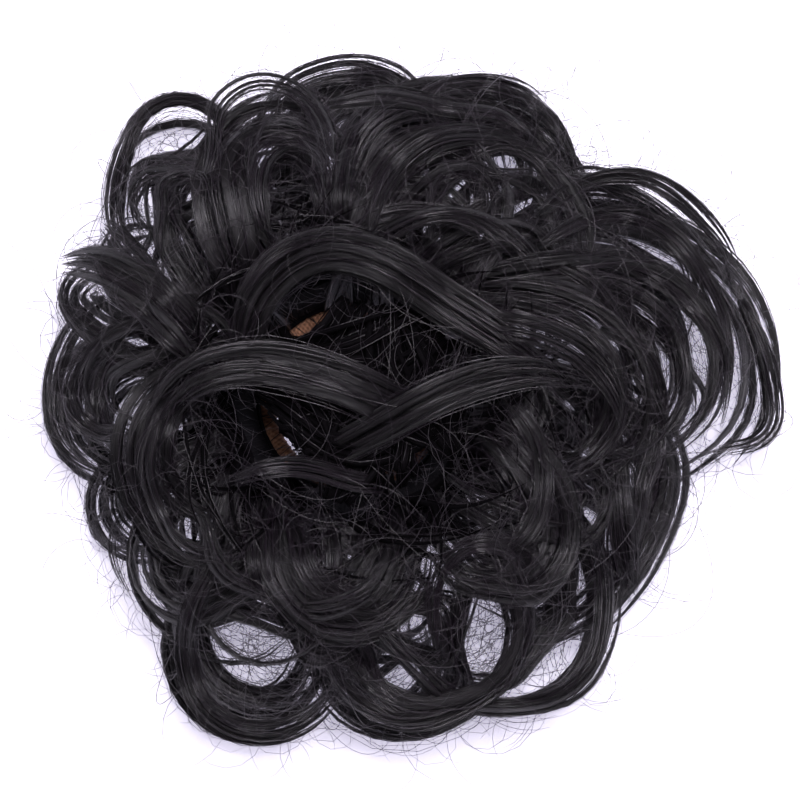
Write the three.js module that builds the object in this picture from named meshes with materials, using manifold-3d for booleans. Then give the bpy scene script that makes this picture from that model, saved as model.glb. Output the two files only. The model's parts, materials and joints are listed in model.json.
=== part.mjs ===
// Top knot hairpiece: a ring of covered elastic with three rows of curled hair sewn round it.
// Each row is one piece: its sewn track, a dense mat of hair next to the track, and the curls that leave it.
// Millimetres, +Z up. The piece lies on its under row, with the hole for the wearer's own hair open below.
import * as THREE from "three";
import { mergeVertices } from "three/addons/utils/BufferGeometryUtils.js";
import { LoftGeometry } from "three/addons/geometries/LoftGeometry.js";
import Module from "manifold-3d";

// Elastic ring
const ringRadius = 20.1; // to the middle of the elastic
const elasticDiameter = 4;
const ringHeight = 14; // the middle of the elastic above the surface
const ringSteps = 28;
const elasticSides = 8;

// Sewn tracks
const trackDiameter = 2.4;
const trackSides = 6;
const clearance = 0.3; // between the elastic and the tracks, and between the tracks

// Hair
const spreadRadius = 85; // half of the width across the curls
const pileHeight = 54; // the highest curls above the surface
const lockWidth = 10;
const lockThickness = 5;
const curlRadius = 14; // of a full curl, to the middle of its lock
const tailSwing = 0.8; // how far a tail's bearing lies past the far one, as a share of the root's
const matThickness = 5; // at the outer edge of the mat
const matScallop = 0.12; // how far the mat's edge comes in between its lobes, as a share of its length
const matSteps = 3;
const rootShare = 0.6; // width and thickness of a lock at its root
const tipShare = 0.4; // and at its tip
const ripple = 0.35; // how much of a row's free height its locks wander through on their way
const lockSections = 10;
const lockSides = 6;
const loopStep = 40; // degrees between the stations of a loop, at most

const degrees = Math.PI / 180;
const elasticRadius = elasticDiameter / 2;
const trackRadius = trackDiameter / 2;
const hairColour = 0x17161a;
const elasticColour = 0x7a4a35;

// The rows, from the lowest to the highest. Along is a share of the way from the track to the spread
// radius. Up and play are shares of the pile height: the middle of the row, and how far the middle
// of a lock may lie above or below it. The mat ends at its share of the way, in so many lobes.
// A curl leaves the mat at its root bearing. Its loop, in curl radii, has its far edge at the far bearing
// and reach. It starts by its lead before that, goes on by its wrap and loses its shrink of the radius on
// the way. Then it comes back under the row as far as its tail, or ends free where that is 0. Its left side
// is raised or lowered by its tilt, as a share of the play.
const rows = [
  {
    name: "under_row",
    side: -1,
    mat: 0.5,
    lobes: 9,
    heights: [
      { along: 0.08, up: 0.15, play: 0 },
      { along: 0.25, up: 0.105, play: 0.03 },
      { along: 0.5, up: 0.09, play: 0.065 },
      { along: 1.3, up: 0.09, play: 0.065 },
    ],
    curls: [
      { root: 113, far: 130, reach: 0.94, loop: 0.95, lead: 80, wrap: 120, shrink: 0.2, tail: 0.6, width: 0.75, tilt: 0.7 },
      { root: 163, far: 184, reach: 0.86, loop: 1.15, lead: 80, wrap: 90, shrink: 0.2, tail: 0.5, width: 0.85, tilt: -0.8 },
      { root: 194, far: 208, reach: 0.82, loop: 1.0, lead: 60, wrap: 60, shrink: 0.2, tail: 0, width: 0.55, tilt: 0.6 },
      { root: 229, far: 249, reach: 1.0, loop: 1.2, lead: 80, wrap: 110, shrink: 0.2, tail: 0.5, width: 1.25, tilt: 0.9 },
      { root: 258, far: 277, reach: 0.88, loop: 0.9, lead: 80, wrap: 110, shrink: 0.2, tail: 0.5, width: 0.9, tilt: -0.7 },
      { root: 338, far: 302, reach: 1.05, loop: 2.1, lead: 125, wrap: 95, shrink: 0.39, tail: 0, width: 0.8, tilt: 0.8 },
      { root: 336, far: 313, reach: 0.86, loop: 0.9, lead: 80, wrap: 120, shrink: 0.2, tail: 0.5, width: 1.0, tilt: -0.7 },
      { root: 345, far: 330, reach: 0.94, loop: 0.8, lead: 50, wrap: 40, shrink: 0.2, tail: 0, width: 0.85, tilt: -1 },
      { root: 408, far: 349, reach: 1.4, loop: 3.9, lead: 120, wrap: 10, shrink: 0.63, tail: 0, width: 1.0, tilt: -0.6 },
      { root: 405, far: 363, reach: 1.03, loop: 2.4, lead: 75, wrap: 25, shrink: 0.2, tail: 0, width: 0.9, tilt: 0.6 },
      { root: 432, far: 411, reach: 0.94, loop: 1.15, lead: 80, wrap: 110, shrink: 0.2, tail: 0.5, width: 1.2, tilt: -0.7 },
      { root: 466, far: 447, reach: 0.95, loop: 1.15, lead: 80, wrap: 110, shrink: 0.2, tail: 0.5, width: 1.05, tilt: 0.8 },
    ],
  },
  {
    name: "side_row",
    side: 0,
    mat: 0.42,
    lobes: 10,
    heights: [
      { along: 0.07, up: 0.34, play: 0 },
      { along: 0.15, up: 0.445, play: 0.02 },
      { along: 0.3, up: 0.51, play: 0.07 },
      { along: 0.5, up: 0.45, play: 0.07 },
      { along: 0.68, up: 0.36, play: 0.07 },
      { along: 0.85, up: 0.29, play: 0.06 },
      { along: 1.3, up: 0.27, play: 0.06 },
    ],
    curls: [
      { root: 172, far: 157, reach: 0.88, loop: 0.6, lead: 40, wrap: 30, shrink: 0.2, tail: 0, width: 1.0, tilt: 1 },
      { root: 158, far: 146, reach: 0.8, loop: 0.6, lead: 50, wrap: 60, shrink: 0.2, tail: 0, width: 0.8, tilt: -0.9 },
      { root: 128, far: 106, reach: 0.88, loop: 1.15, lead: 80, wrap: 100, shrink: 0.2, tail: 0.5, width: 0.8, tilt: 0.7 },
      { root: 84, far: 62, reach: 0.93, loop: 1.4, lead: 95, wrap: 60, shrink: 0.2, tail: 0.5, width: 1.15, tilt: -0.8 },
      { root: 55, far: 24, reach: 1.02, loop: 2.0, lead: 105, wrap: 25, shrink: 0, tail: 0, width: 0.55, tilt: -0.6 },
      { root: 45, far: -8, reach: 1.28, loop: 3.2, lead: 120, wrap: 15, shrink: 0.65, tail: 0, width: 1.0, tilt: 0.7 },
      { root: 40, far: 2, reach: 0.88, loop: 2.0, lead: 70, wrap: 50, shrink: 0.2, tail: 0, width: 0.95, tilt: -0.7 },
      { root: 12, far: -30, reach: 0.93, loop: 3.6, lead: 30, wrap: 12, shrink: 0, tail: 0, width: 0.9, tilt: 0.9 },
      { root: -30, far: -56, reach: 0.95, loop: 1.4, lead: 130, wrap: 40, shrink: 0, tail: 0, width: 1.1, tilt: -0.8 },
      { root: -56, far: -81, reach: 0.98, loop: 1.75, lead: 110, wrap: 105, shrink: 0.45, tail: 0, width: 1.15, tilt: 0.7 },
      { root: -84, far: -96, reach: 0.74, loop: 0.75, lead: 80, wrap: 140, shrink: 0.2, tail: 0, width: 0.8, tilt: 0.5 },
      { root: -130, far: -104, reach: 0.95, loop: 1.6, lead: 110, wrap: 70, shrink: 0.6, tail: 0, width: 0.9, tilt: -0.9 },
      { root: -150, far: -128, reach: 0.82, loop: 1.3, lead: 110, wrap: 40, shrink: 0, tail: 0, width: 0.9, tilt: 0.8 },
      { root: -198, far: -176, reach: 0.8, loop: 1.1, lead: 100, wrap: 110, shrink: 0.3, tail: 0, width: 0.9, tilt: -0.7 },
    ],
  },
  {
    name: "top_row",
    side: 1,
    mat: 0.26,
    lobes: 8,
    heights: [
      { along: 0.05, up: 0.44, play: 0 },
      { along: 0.12, up: 0.62, play: 0.01 },
      { along: 0.25, up: 0.76, play: 0.05 },
      { along: 0.36, up: 0.77, play: 0.09 },
      { along: 0.52, up: 0.7, play: 0.09 },
      { along: 0.65, up: 0.62, play: 0.1 },
      { along: 0.78, up: 0.53, play: 0.08 },
      { along: 1.3, up: 0.48, play: 0.07 },
    ],
    curls: [
      { root: 136, far: 108, reach: 0.83, loop: 1.0, lead: 100, wrap: 180, shrink: 0.3, tail: 0, width: 1.1, tilt: 0.9 },
      { root: 90, far: 66, reach: 0.79, loop: 1.0, lead: 110, wrap: 120, shrink: 0.2, tail: 0, width: 1.0, tilt: -0.7 },
      { root: 84, far: 48, reach: 0.83, loop: 1.7, lead: 75, wrap: 40, shrink: 0, tail: 0, width: 0.8, tilt: 0.8 },
      { root: 46, far: 4, reach: 1.0, loop: 1.8, lead: 95, wrap: 30, shrink: 0.1, tail: 0, width: 0.85, tilt: -0.8 },
      { root: 40, far: -6, reach: 0.8, loop: 1.6, lead: 80, wrap: 35, shrink: 0.2, tail: 0, width: 0.9, tilt: 0.6 },
      { root: -16, far: -44, reach: 0.76, loop: 1.05, lead: 80, wrap: 120, shrink: 0.2, tail: 0.4, width: 1.1, tilt: -0.8 },
      { root: -92, far: -70, reach: 0.86, loop: 1.15, lead: 85, wrap: 110, shrink: 0.2, tail: 0.4, width: 1.0, tilt: 0.9 },
      { root: -122, far: -92, reach: 0.66, loop: 1.1, lead: 100, wrap: 50, shrink: 0, tail: 0, width: 1.0, tilt: -0.8 },
      { root: -146, far: -112, reach: 0.78, loop: 1.3, lead: 100, wrap: 60, shrink: 0.1, tail: 0, width: 0.95, tilt: 0.8 },
      { root: -190, far: -152, reach: 0.64, loop: 1.4, lead: 100, wrap: 40, shrink: 0, tail: 0, width: 0.9, tilt: -0.7 },
      { root: 120, far: 134, reach: 0.85, loop: 0.7, lead: 95, wrap: 120, shrink: 0, tail: 0, width: 0.7, tilt: -0.8 },
    ],
    // Locks that pass over the hole, each through its stations in turn. Reach is a share of the spread
    // radius and up one of the pile height.
    crossings: [
      {
        width: 0.8,
        stations: [
          { bearing: 176, reach: 0.27, up: 0.42 },
          { bearing: 166, reach: 0.3, up: 0.62 },
          { bearing: 134, reach: 0.35, up: 0.8 },
          { bearing: 105, reach: 0.37, up: 0.9 },
          { bearing: 78, reach: 0.34, up: 0.94 },
          { bearing: 42, reach: 0.33, up: 0.92 },
          { bearing: 10, reach: 0.47, up: 0.88 },
          { bearing: -4, reach: 0.62, up: 0.82 },
        ],
      },
      {
        width: 0.8,
        stations: [
          { bearing: -22, reach: 0.275, up: 0.38 },
          { bearing: -22, reach: 0.23, up: 0.62 },
          { bearing: -20, reach: 0.13, up: 0.82 },
          { bearing: 155, reach: 0.09, up: 0.93 },
          { bearing: 167, reach: 0.3, up: 0.96 },
          { bearing: 181, reach: 0.46, up: 0.92 },
          { bearing: 203, reach: 0.59, up: 0.84 },
        ],
      },
      {
        width: 0.65,
        stations: [
          { bearing: 236, reach: 0.275, up: 0.38 },
          { bearing: 237, reach: 0.24, up: 0.6 },
          { bearing: 255, reach: 0.17, up: 0.8 },
          { bearing: 308, reach: 0.13, up: 0.9 },
          { bearing: 358, reach: 0.26, up: 0.95 },
          { bearing: 365, reach: 0.45, up: 0.95 },
          { bearing: 361, reach: 0.66, up: 0.88 },
        ],
      },
      {
        width: 0.45,
        stations: [
          { bearing: 290, reach: 0.275, up: 0.38 },
          { bearing: 288, reach: 0.25, up: 0.6 },
          { bearing: 275, reach: 0.24, up: 0.78 },
          { bearing: 232, reach: 0.25, up: 0.88 },
          { bearing: 214, reach: 0.44, up: 0.84 },
        ],
      },
    ],
  },
];

const wasm = await Module();
wasm.setup();

// A closed geometry as a solid that can be joined and cut.
function solidOf(geometry) {
  const bare = new THREE.BufferGeometry().copy(geometry);
  const merged = mergeVertices(bare.deleteAttribute("uv").deleteAttribute("normal"));
  return new wasm.Manifold(
    new wasm.Mesh({
      numProp: 3,
      vertProperties: merged.attributes.position.array,
      triVerts: new Uint32Array(merged.index.array),
    }),
  );
}

function geometryOf(solid) {
  const { numProp, vertProperties, triVerts } = solid.getMesh();
  const points = new THREE.InterleavedBuffer(vertProperties, numProp);
  const geometry = new THREE.BufferGeometry();
  geometry.setAttribute("position", new THREE.InterleavedBufferAttribute(points, 3, 0));
  geometry.setIndex(new THREE.BufferAttribute(triVerts, 1));
  return geometry.toNonIndexed();
}

function polar(radius, bearing) {
  return new THREE.Vector3(
    radius * Math.cos(bearing * degrees),
    radius * Math.sin(bearing * degrees),
    0,
  );
}

// A smooth curve through the rows of a table, whose x rises from row to row.
function smoothTable(table, x) {
  const last = table.length - 1;
  const slope = (i) => {
    const before = table[Math.max(i - 1, 0)];
    const after = table[Math.min(i + 1, last)];
    return (after.y - before.y) / (after.x - before.x);
  };
  if (x <= table[0].x) return table[0].y;
  if (x >= table[last].x) return table[last].y;
  const i = table.findIndex((row) => row.x > x) - 1;
  const span = table[i + 1].x - table[i].x;
  const t = (x - table[i].x) / span;
  const [t2, t3] = [t * t, t * t * t];
  return (
    (2 * t3 - 3 * t2 + 1) * table[i].y +
    (t3 - 2 * t2 + t) * span * slope(i) +
    (3 * t2 - 2 * t3) * table[i + 1].y +
    (t3 - t2) * span * slope(i + 1)
  );
}

// The tracks lie side by side on the outside of the elastic, a clearance apart.
const trackSeat = elasticRadius + clearance + trackRadius;
const trackStep = 2 * Math.asin((trackDiameter + clearance) / (2 * trackSeat));

function trackOf(row) {
  const angle = row.side * trackStep;
  return {
    radius: ringRadius + trackSeat * Math.cos(angle),
    height: ringHeight + trackSeat * Math.sin(angle),
  };
}

// The middle of a row's hair at a distance from the ring's axis, and how far a lock may lie off it.
function shellAt(row, radius) {
  const track = trackOf(row);
  const stations = row.heights.map(({ along, up, play }) => ({
    x: THREE.MathUtils.lerp(track.radius, spreadRadius, along),
    up: up * pileHeight,
    play: play * pileHeight,
  }));
  stations.unshift({ x: track.radius, up: track.height, play: 0 });
  const column = (name) => stations.map((station) => ({ x: station.x, y: station[name] }));
  return { middle: smoothTable(column("up"), radius), play: smoothTable(column("play"), radius) };
}

function ringOf(sectionRadius, sides, radius, height) {
  const outline = [];
  for (let i = 0; i <= sides; i++) {
    const angle = ((i % sides) / sides) * 2 * Math.PI;
    const point = [radius + sectionRadius * Math.cos(angle), height + sectionRadius * Math.sin(angle)];
    outline.push(new THREE.Vector2(...point));
  }
  return new THREE.LatheGeometry(outline, ringSteps).rotateX(Math.PI / 2);
}

function matLength(row) {
  return row.mat * (spreadRadius - trackOf(row).radius);
}

// The dense hair next to the track: a skirt that thickens outwards and ends in lobes.
function matOf(row) {
  const track = trackOf(row);
  const length = matLength(row);
  const middleAt = (radius) => new THREE.Vector2(radius, shellAt(row, radius).middle);
  const under = [];
  const over = [];
  for (let i = 0; i <= matSteps; i++) {
    const share = i / matSteps;
    const radius = track.radius + share * length;
    const slope = middleAt(radius + 0.5).sub(middleAt(radius)).normalize();
    const half = THREE.MathUtils.lerp(trackRadius * 0.8, matThickness / 2, share);
    const normal = new THREE.Vector2(-slope.y, slope.x).multiplyScalar(half);
    under.push(middleAt(radius).sub(normal));
    over.unshift(middleAt(radius).add(normal));
  }
  const edge = middleAt(track.radius + length).add(new THREE.Vector2(matThickness / 2, 0));
  const outline = [...under, edge, ...over, under[0]];
  const skirt = new THREE.LatheGeometry(outline, ringSteps).rotateX(Math.PI / 2);
  const place = new THREE.Vector3();
  const points = skirt.attributes.position;
  for (let i = 0; i < points.count; i++) {
    place.fromBufferAttribute(points, i);
    const radius = Math.hypot(place.x, place.y);
    const beyond = Math.max(0, radius - track.radius);
    const lobe = Math.cos(Math.atan2(place.y, place.x) * row.lobes);
    const scale = (radius - beyond * matScallop * (1 - lobe)) / radius;
    points.setXYZ(i, place.x * scale, place.y * scale, place.z);
  }
  return skirt;
}

// A lock: a flattened section swept through stations. It starts narrow at its root, swells, and tapers.
function lockOf(stations, width) {
  const path = new THREE.CatmullRomCurve3(stations, false, "centripetal");
  const places = path.getSpacedPoints(lockSections);
  const sections = places.map((place, i) => {
    const share = i / lockSections;
    const swell = Math.min(1, rootShare + share * 2.4, tipShare + (1 - share) * 2.4);
    const tangent = path.getTangentAt(share);
    const across = new THREE.Vector3(0, 0, 1).cross(tangent).normalize();
    const up = tangent.clone().cross(across);
    across.multiplyScalar((width * lockWidth * swell) / 2);
    up.multiplyScalar((lockThickness * swell) / 2);
    return Array.from({ length: lockSides }, (_, k) => {
      const angle = (k / lockSides) * 2 * Math.PI;
      const point = place.clone().addScaledVector(across, Math.cos(angle));
      return point.addScaledVector(up, Math.sin(angle));
    });
  });
  return new LoftGeometry(sections, { capStart: true, capEnd: true });
}

// A curl leaves the mat and goes round a loop that closes in on itself.
function curlOf(row, curl, index) {
  const hand = Math.sign(curl.far - curl.root);
  const loop = curl.loop * curlRadius;
  const centre = polar(curl.reach * spreadRadius - (curl.width * lockWidth) / 2 - loop, curl.far);
  const root = trackOf(row).radius + 0.6 * matLength(row);
  const stations = [polar(root, curl.root)];
  const turns = Math.ceil((curl.lead + curl.wrap) / loopStep);
  for (let i = 0; i <= turns; i++) {
    const radius = loop * (1 - curl.shrink * (i / turns) ** 2);
    const turn = THREE.MathUtils.lerp(-curl.lead, curl.wrap, i / turns);
    stations.push(polar(radius, curl.far + hand * turn).add(centre));
  }
  if (curl.tail > 0) {
    const swing = (curl.far - curl.root) * tailSwing;
    stations.push(polar(curl.tail * spreadRadius, curl.far + swing));
  }
  const aside = polar(1 / loop, curl.far + 90);
  stations.forEach((station, i) => {
    const { middle, play } = shellAt(row, Math.hypot(station.x, station.y));
    const roll = curl.tilt * THREE.MathUtils.clamp(station.dot(aside), -1, 1);
    const wander = ripple * Math.sin(i * 1.7 + index * 2.4);
    const isTail = curl.tail > 0 && i === stations.length - 1;
    const free = i === 0 ? 0 : isTail ? -1 : THREE.MathUtils.clamp(roll + wander, -1, 1);
    station.z = middle + play * free;
  });
  return lockOf(stations, curl.width);
}

function crossingOf(lock) {
  const stations = lock.stations.map(({ bearing, reach, up }) => {
    return polar(reach * spreadRadius, bearing).setZ(up * pileHeight);
  });
  return lockOf(stations, lock.width);
}

// A whole row of hair, fused to its track and cut flat where it rests.
function rowOf(row) {
  const track = trackOf(row);
  const pieces = [
    ringOf(trackRadius, trackSides, track.radius, track.height),
    matOf(row),
    ...row.curls.map((curl, index) => curlOf(row, curl, index)),
    ...(row.crossings ?? []).map(crossingOf),
  ];
  const joined = pieces.map(solidOf).reduce((whole, piece) => whole.add(piece));
  const side = 4 * spreadRadius;
  const below = new THREE.BoxGeometry(side, side, lockThickness).translate(0, 0, -lockThickness / 2);
  return geometryOf(joined.subtract(solidOf(below)));
}

function meshOf(name, geometry, colour, roughness) {
  const material = new THREE.MeshStandardMaterial({ color: colour, roughness, metalness: 0 });
  const mesh = new THREE.Mesh(geometry, material);
  mesh.name = name;
  return mesh;
}

const hairpiece = new THREE.Group();
const elastic = ringOf(elasticRadius, elasticSides, ringRadius, ringHeight);
hairpiece.add(meshOf("elastic_ring", elastic, elasticColour, 0.85));
for (const row of rows) {
  hairpiece.add(meshOf(row.name, rowOf(row), hairColour, 0.42));
}

// The origin is on the surface, at the middle of the whole piece.
const box = new THREE.Box3().setFromObject(hairpiece);
const middle = box.getCenter(new THREE.Vector3());
hairpiece.position.set(-middle.x, -middle.y, -box.min.z);

export default hairpiece;
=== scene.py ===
# Top knot hairpiece: the looks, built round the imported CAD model.
# Each lock of hair is a sheaf of flat strips with strands along them. It follows the same tables as
# the CAD rows. Fine loose hair goes between and round the locks, and the elastic gets its woven cover.
import json
import math

import bpy
import numpy as np
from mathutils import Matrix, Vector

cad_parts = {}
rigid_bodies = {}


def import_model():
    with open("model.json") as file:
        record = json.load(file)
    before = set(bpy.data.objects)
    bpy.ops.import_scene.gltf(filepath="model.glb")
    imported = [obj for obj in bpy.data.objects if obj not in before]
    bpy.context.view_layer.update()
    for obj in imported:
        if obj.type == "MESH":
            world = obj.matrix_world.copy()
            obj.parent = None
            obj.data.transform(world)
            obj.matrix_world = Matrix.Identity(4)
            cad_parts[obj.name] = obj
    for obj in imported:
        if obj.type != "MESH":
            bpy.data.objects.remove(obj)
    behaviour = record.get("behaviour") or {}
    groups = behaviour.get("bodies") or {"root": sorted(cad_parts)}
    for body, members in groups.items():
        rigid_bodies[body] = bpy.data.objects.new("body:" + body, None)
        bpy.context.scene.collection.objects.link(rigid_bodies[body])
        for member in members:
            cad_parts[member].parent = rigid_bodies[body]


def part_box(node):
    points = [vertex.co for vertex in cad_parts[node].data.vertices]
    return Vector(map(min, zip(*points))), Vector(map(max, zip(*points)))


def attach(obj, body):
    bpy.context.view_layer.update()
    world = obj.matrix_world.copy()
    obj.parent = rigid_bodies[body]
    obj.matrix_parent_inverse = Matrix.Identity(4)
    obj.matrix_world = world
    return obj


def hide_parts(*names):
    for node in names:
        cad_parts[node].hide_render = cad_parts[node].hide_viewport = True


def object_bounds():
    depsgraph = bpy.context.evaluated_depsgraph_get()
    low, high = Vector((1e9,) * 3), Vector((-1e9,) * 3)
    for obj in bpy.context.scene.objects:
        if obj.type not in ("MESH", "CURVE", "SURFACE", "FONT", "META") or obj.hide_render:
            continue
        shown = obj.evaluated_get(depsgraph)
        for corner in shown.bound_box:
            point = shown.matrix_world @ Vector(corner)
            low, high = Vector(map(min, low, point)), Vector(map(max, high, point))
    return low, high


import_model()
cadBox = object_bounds()
print("frame loaded")

mm = 0.001
randomHair = np.random.default_rng(41)

# The ring as the CAD has it, and the sizes that its hair is built from
ringLow, ringHigh = (np.array(corner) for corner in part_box("elastic_ring"))
ringCentre = (ringLow + ringHigh) / 2
elasticRadius = (ringHigh[2] - ringLow[2]) / 2
ringRadius = (ringHigh[0] - ringLow[0]) / 2 - elasticRadius
ringAxis = np.array([ringCentre[0], ringCentre[1], 0])

# What the rows have in common. All but the last four are the CAD's own values.
form = {
    "trackRadius": 1.2 * mm,
    "clearance": 0.3 * mm,
    "spreadRadius": 85 * mm,
    "pileHeight": 54 * mm,
    "lockWidth": 10 * mm,
    "lockThickness": 5 * mm,
    "curlRadius": 14 * mm,
    "loopStep": 40,
    "tailSwing": 0.8,
    "matThickness": 5 * mm,
    "matScallop": 0.12,
    "matRoot": 0.6,  # where the locks leave the mat, as a share of its length
    "seatShare": 0.8,
    "rootShare": 0.6,
    "tipShare": 0.4,
    "swell": 2.4,
    "ripple": 0.35,
    "shortWrap": 65,
    "lockSteps": 64,
    "droop": 3 * mm,
    "wave": 1.8 * mm,
    "waveLength": 40 * mm,
}

# Heights hold along, up and play. Curls hold root, far, reach, loop, lead, wrap, shrink, tail, width and
# tilt. They are the CAD's own columns.
rows = [
    {
        "name": "under",
        "side": -1,
        "mat": 0.5,
        "lobes": 9,
        "heights": [
            (0.08, 0.15, 0),
            (0.25, 0.105, 0.03),
            (0.5, 0.09, 0.065),
            (1.3, 0.09, 0.065),
        ],
        "curls": [
            (113, 130, 0.94, 0.95, 80, 120, 0.2, 0.6, 0.75, 0.7),
            (163, 184, 0.86, 1.15, 80, 90, 0.2, 0.5, 0.85, -0.8),
            (194, 208, 0.82, 1.0, 60, 60, 0.2, 0, 0.55, 0.6),
            (229, 249, 1.0, 1.2, 80, 110, 0.2, 0.5, 1.25, 0.9),
            (258, 277, 0.88, 0.9, 80, 110, 0.2, 0.5, 0.9, -0.7),
            (338, 302, 1.05, 2.1, 125, 95, 0.39, 0, 0.8, 0.8),
            (336, 313, 0.86, 0.9, 80, 120, 0.2, 0.5, 1.0, -0.7),
            (345, 330, 0.94, 0.8, 50, 40, 0.2, 0, 0.85, -1),
            (408, 349, 1.4, 3.9, 120, 10, 0.63, 0, 1.0, -0.6),
            (405, 363, 1.03, 2.4, 75, 25, 0.2, 0, 0.9, 0.6),
            (432, 411, 0.94, 1.15, 80, 110, 0.2, 0.5, 1.2, -0.7),
            (466, 447, 0.95, 1.15, 80, 110, 0.2, 0.5, 1.05, 0.8),
        ],
    },
    {
        "name": "side",
        "side": 0,
        "mat": 0.42,
        "lobes": 10,
        "heights": [
            (0.07, 0.34, 0),
            (0.15, 0.445, 0.02),
            (0.3, 0.51, 0.07),
            (0.5, 0.45, 0.07),
            (0.68, 0.36, 0.07),
            (0.85, 0.29, 0.06),
            (1.3, 0.27, 0.06),
        ],
        "curls": [
            (172, 157, 0.88, 0.6, 40, 30, 0.2, 0, 1.0, 1),
            (158, 146, 0.8, 0.6, 50, 60, 0.2, 0, 0.8, -0.9),
            (128, 106, 0.88, 1.15, 80, 100, 0.2, 0.5, 0.8, 0.7),
            (84, 62, 0.93, 1.4, 95, 60, 0.2, 0.5, 1.15, -0.8),
            (55, 24, 1.02, 2.0, 105, 25, 0, 0, 0.55, -0.6),
            (45, -8, 1.28, 3.2, 120, 15, 0.65, 0, 1.0, 0.7),
            (40, 2, 0.88, 2.0, 70, 50, 0.2, 0, 0.95, -0.7),
            (12, -30, 0.93, 3.6, 30, 12, 0, 0, 0.9, 0.9),
            (-30, -56, 0.95, 1.4, 130, 40, 0, 0, 1.1, -0.8),
            (-56, -81, 0.98, 1.75, 110, 105, 0.45, 0, 1.15, 0.7),
            (-84, -96, 0.74, 0.75, 80, 140, 0.2, 0, 0.8, 0.5),
            (-130, -104, 0.95, 1.6, 110, 70, 0.6, 0, 0.9, -0.9),
            (-150, -128, 0.82, 1.3, 110, 40, 0, 0, 0.9, 0.8),
            (-198, -176, 0.8, 1.1, 100, 110, 0.3, 0, 0.9, -0.7),
        ],
    },
    {
        "name": "top",
        "side": 1,
        "mat": 0.26,
        "lobes": 8,
        "heights": [
            (0.05, 0.44, 0),
            (0.12, 0.62, 0.01),
            (0.25, 0.76, 0.05),
            (0.36, 0.77, 0.09),
            (0.52, 0.7, 0.09),
            (0.65, 0.62, 0.1),
            (0.78, 0.53, 0.08),
            (1.3, 0.48, 0.07),
        ],
        "curls": [
            (136, 108, 0.83, 1.0, 100, 180, 0.3, 0, 1.1, 0.9),
            (90, 66, 0.79, 1.0, 110, 120, 0.2, 0, 1.0, -0.7),
            (84, 48, 0.83, 1.7, 75, 40, 0, 0, 0.8, 0.8),
            (46, 4, 1.0, 1.8, 95, 30, 0.1, 0, 0.85, -0.8),
            (40, -6, 0.8, 1.6, 80, 35, 0.2, 0, 0.9, 0.6),
            (-16, -44, 0.76, 1.05, 80, 120, 0.2, 0.4, 1.1, -0.8),
            (-92, -70, 0.86, 1.15, 85, 110, 0.2, 0.4, 1.0, 0.9),
            (-122, -92, 0.66, 1.1, 100, 50, 0, 0, 1.0, -0.8),
            (-146, -112, 0.78, 1.3, 100, 60, 0.1, 0, 0.95, 0.8),
            (-190, -152, 0.64, 1.4, 100, 40, 0, 0, 0.9, -0.7),
            (120, 134, 0.85, 0.7, 95, 120, 0, 0, 0.7, -0.8),
        ],
    },
]

# Locks over the hole: width, then stations of bearing, reach and up, as in the CAD.
crossings = [
    (0.8, [(176, 0.27, 0.42), (166, 0.3, 0.62), (134, 0.35, 0.8), (105, 0.37, 0.9),
           (78, 0.34, 0.94), (42, 0.33, 0.92), (10, 0.47, 0.88), (-4, 0.62, 0.82)]),
    (0.8, [(-22, 0.275, 0.38), (-22, 0.23, 0.62), (-20, 0.13, 0.82), (155, 0.09, 0.93),
           (167, 0.3, 0.96), (181, 0.46, 0.92), (203, 0.59, 0.84)]),
    (0.65, [(236, 0.275, 0.38), (237, 0.24, 0.6), (255, 0.17, 0.8), (308, 0.13, 0.9),
            (358, 0.26, 0.95), (365, 0.45, 0.95), (361, 0.66, 0.88)]),
    (0.45, [(290, 0.275, 0.38), (288, 0.25, 0.6), (275, 0.24, 0.78), (232, 0.25, 0.88),
           (214, 0.44, 0.84)]),
]

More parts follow.
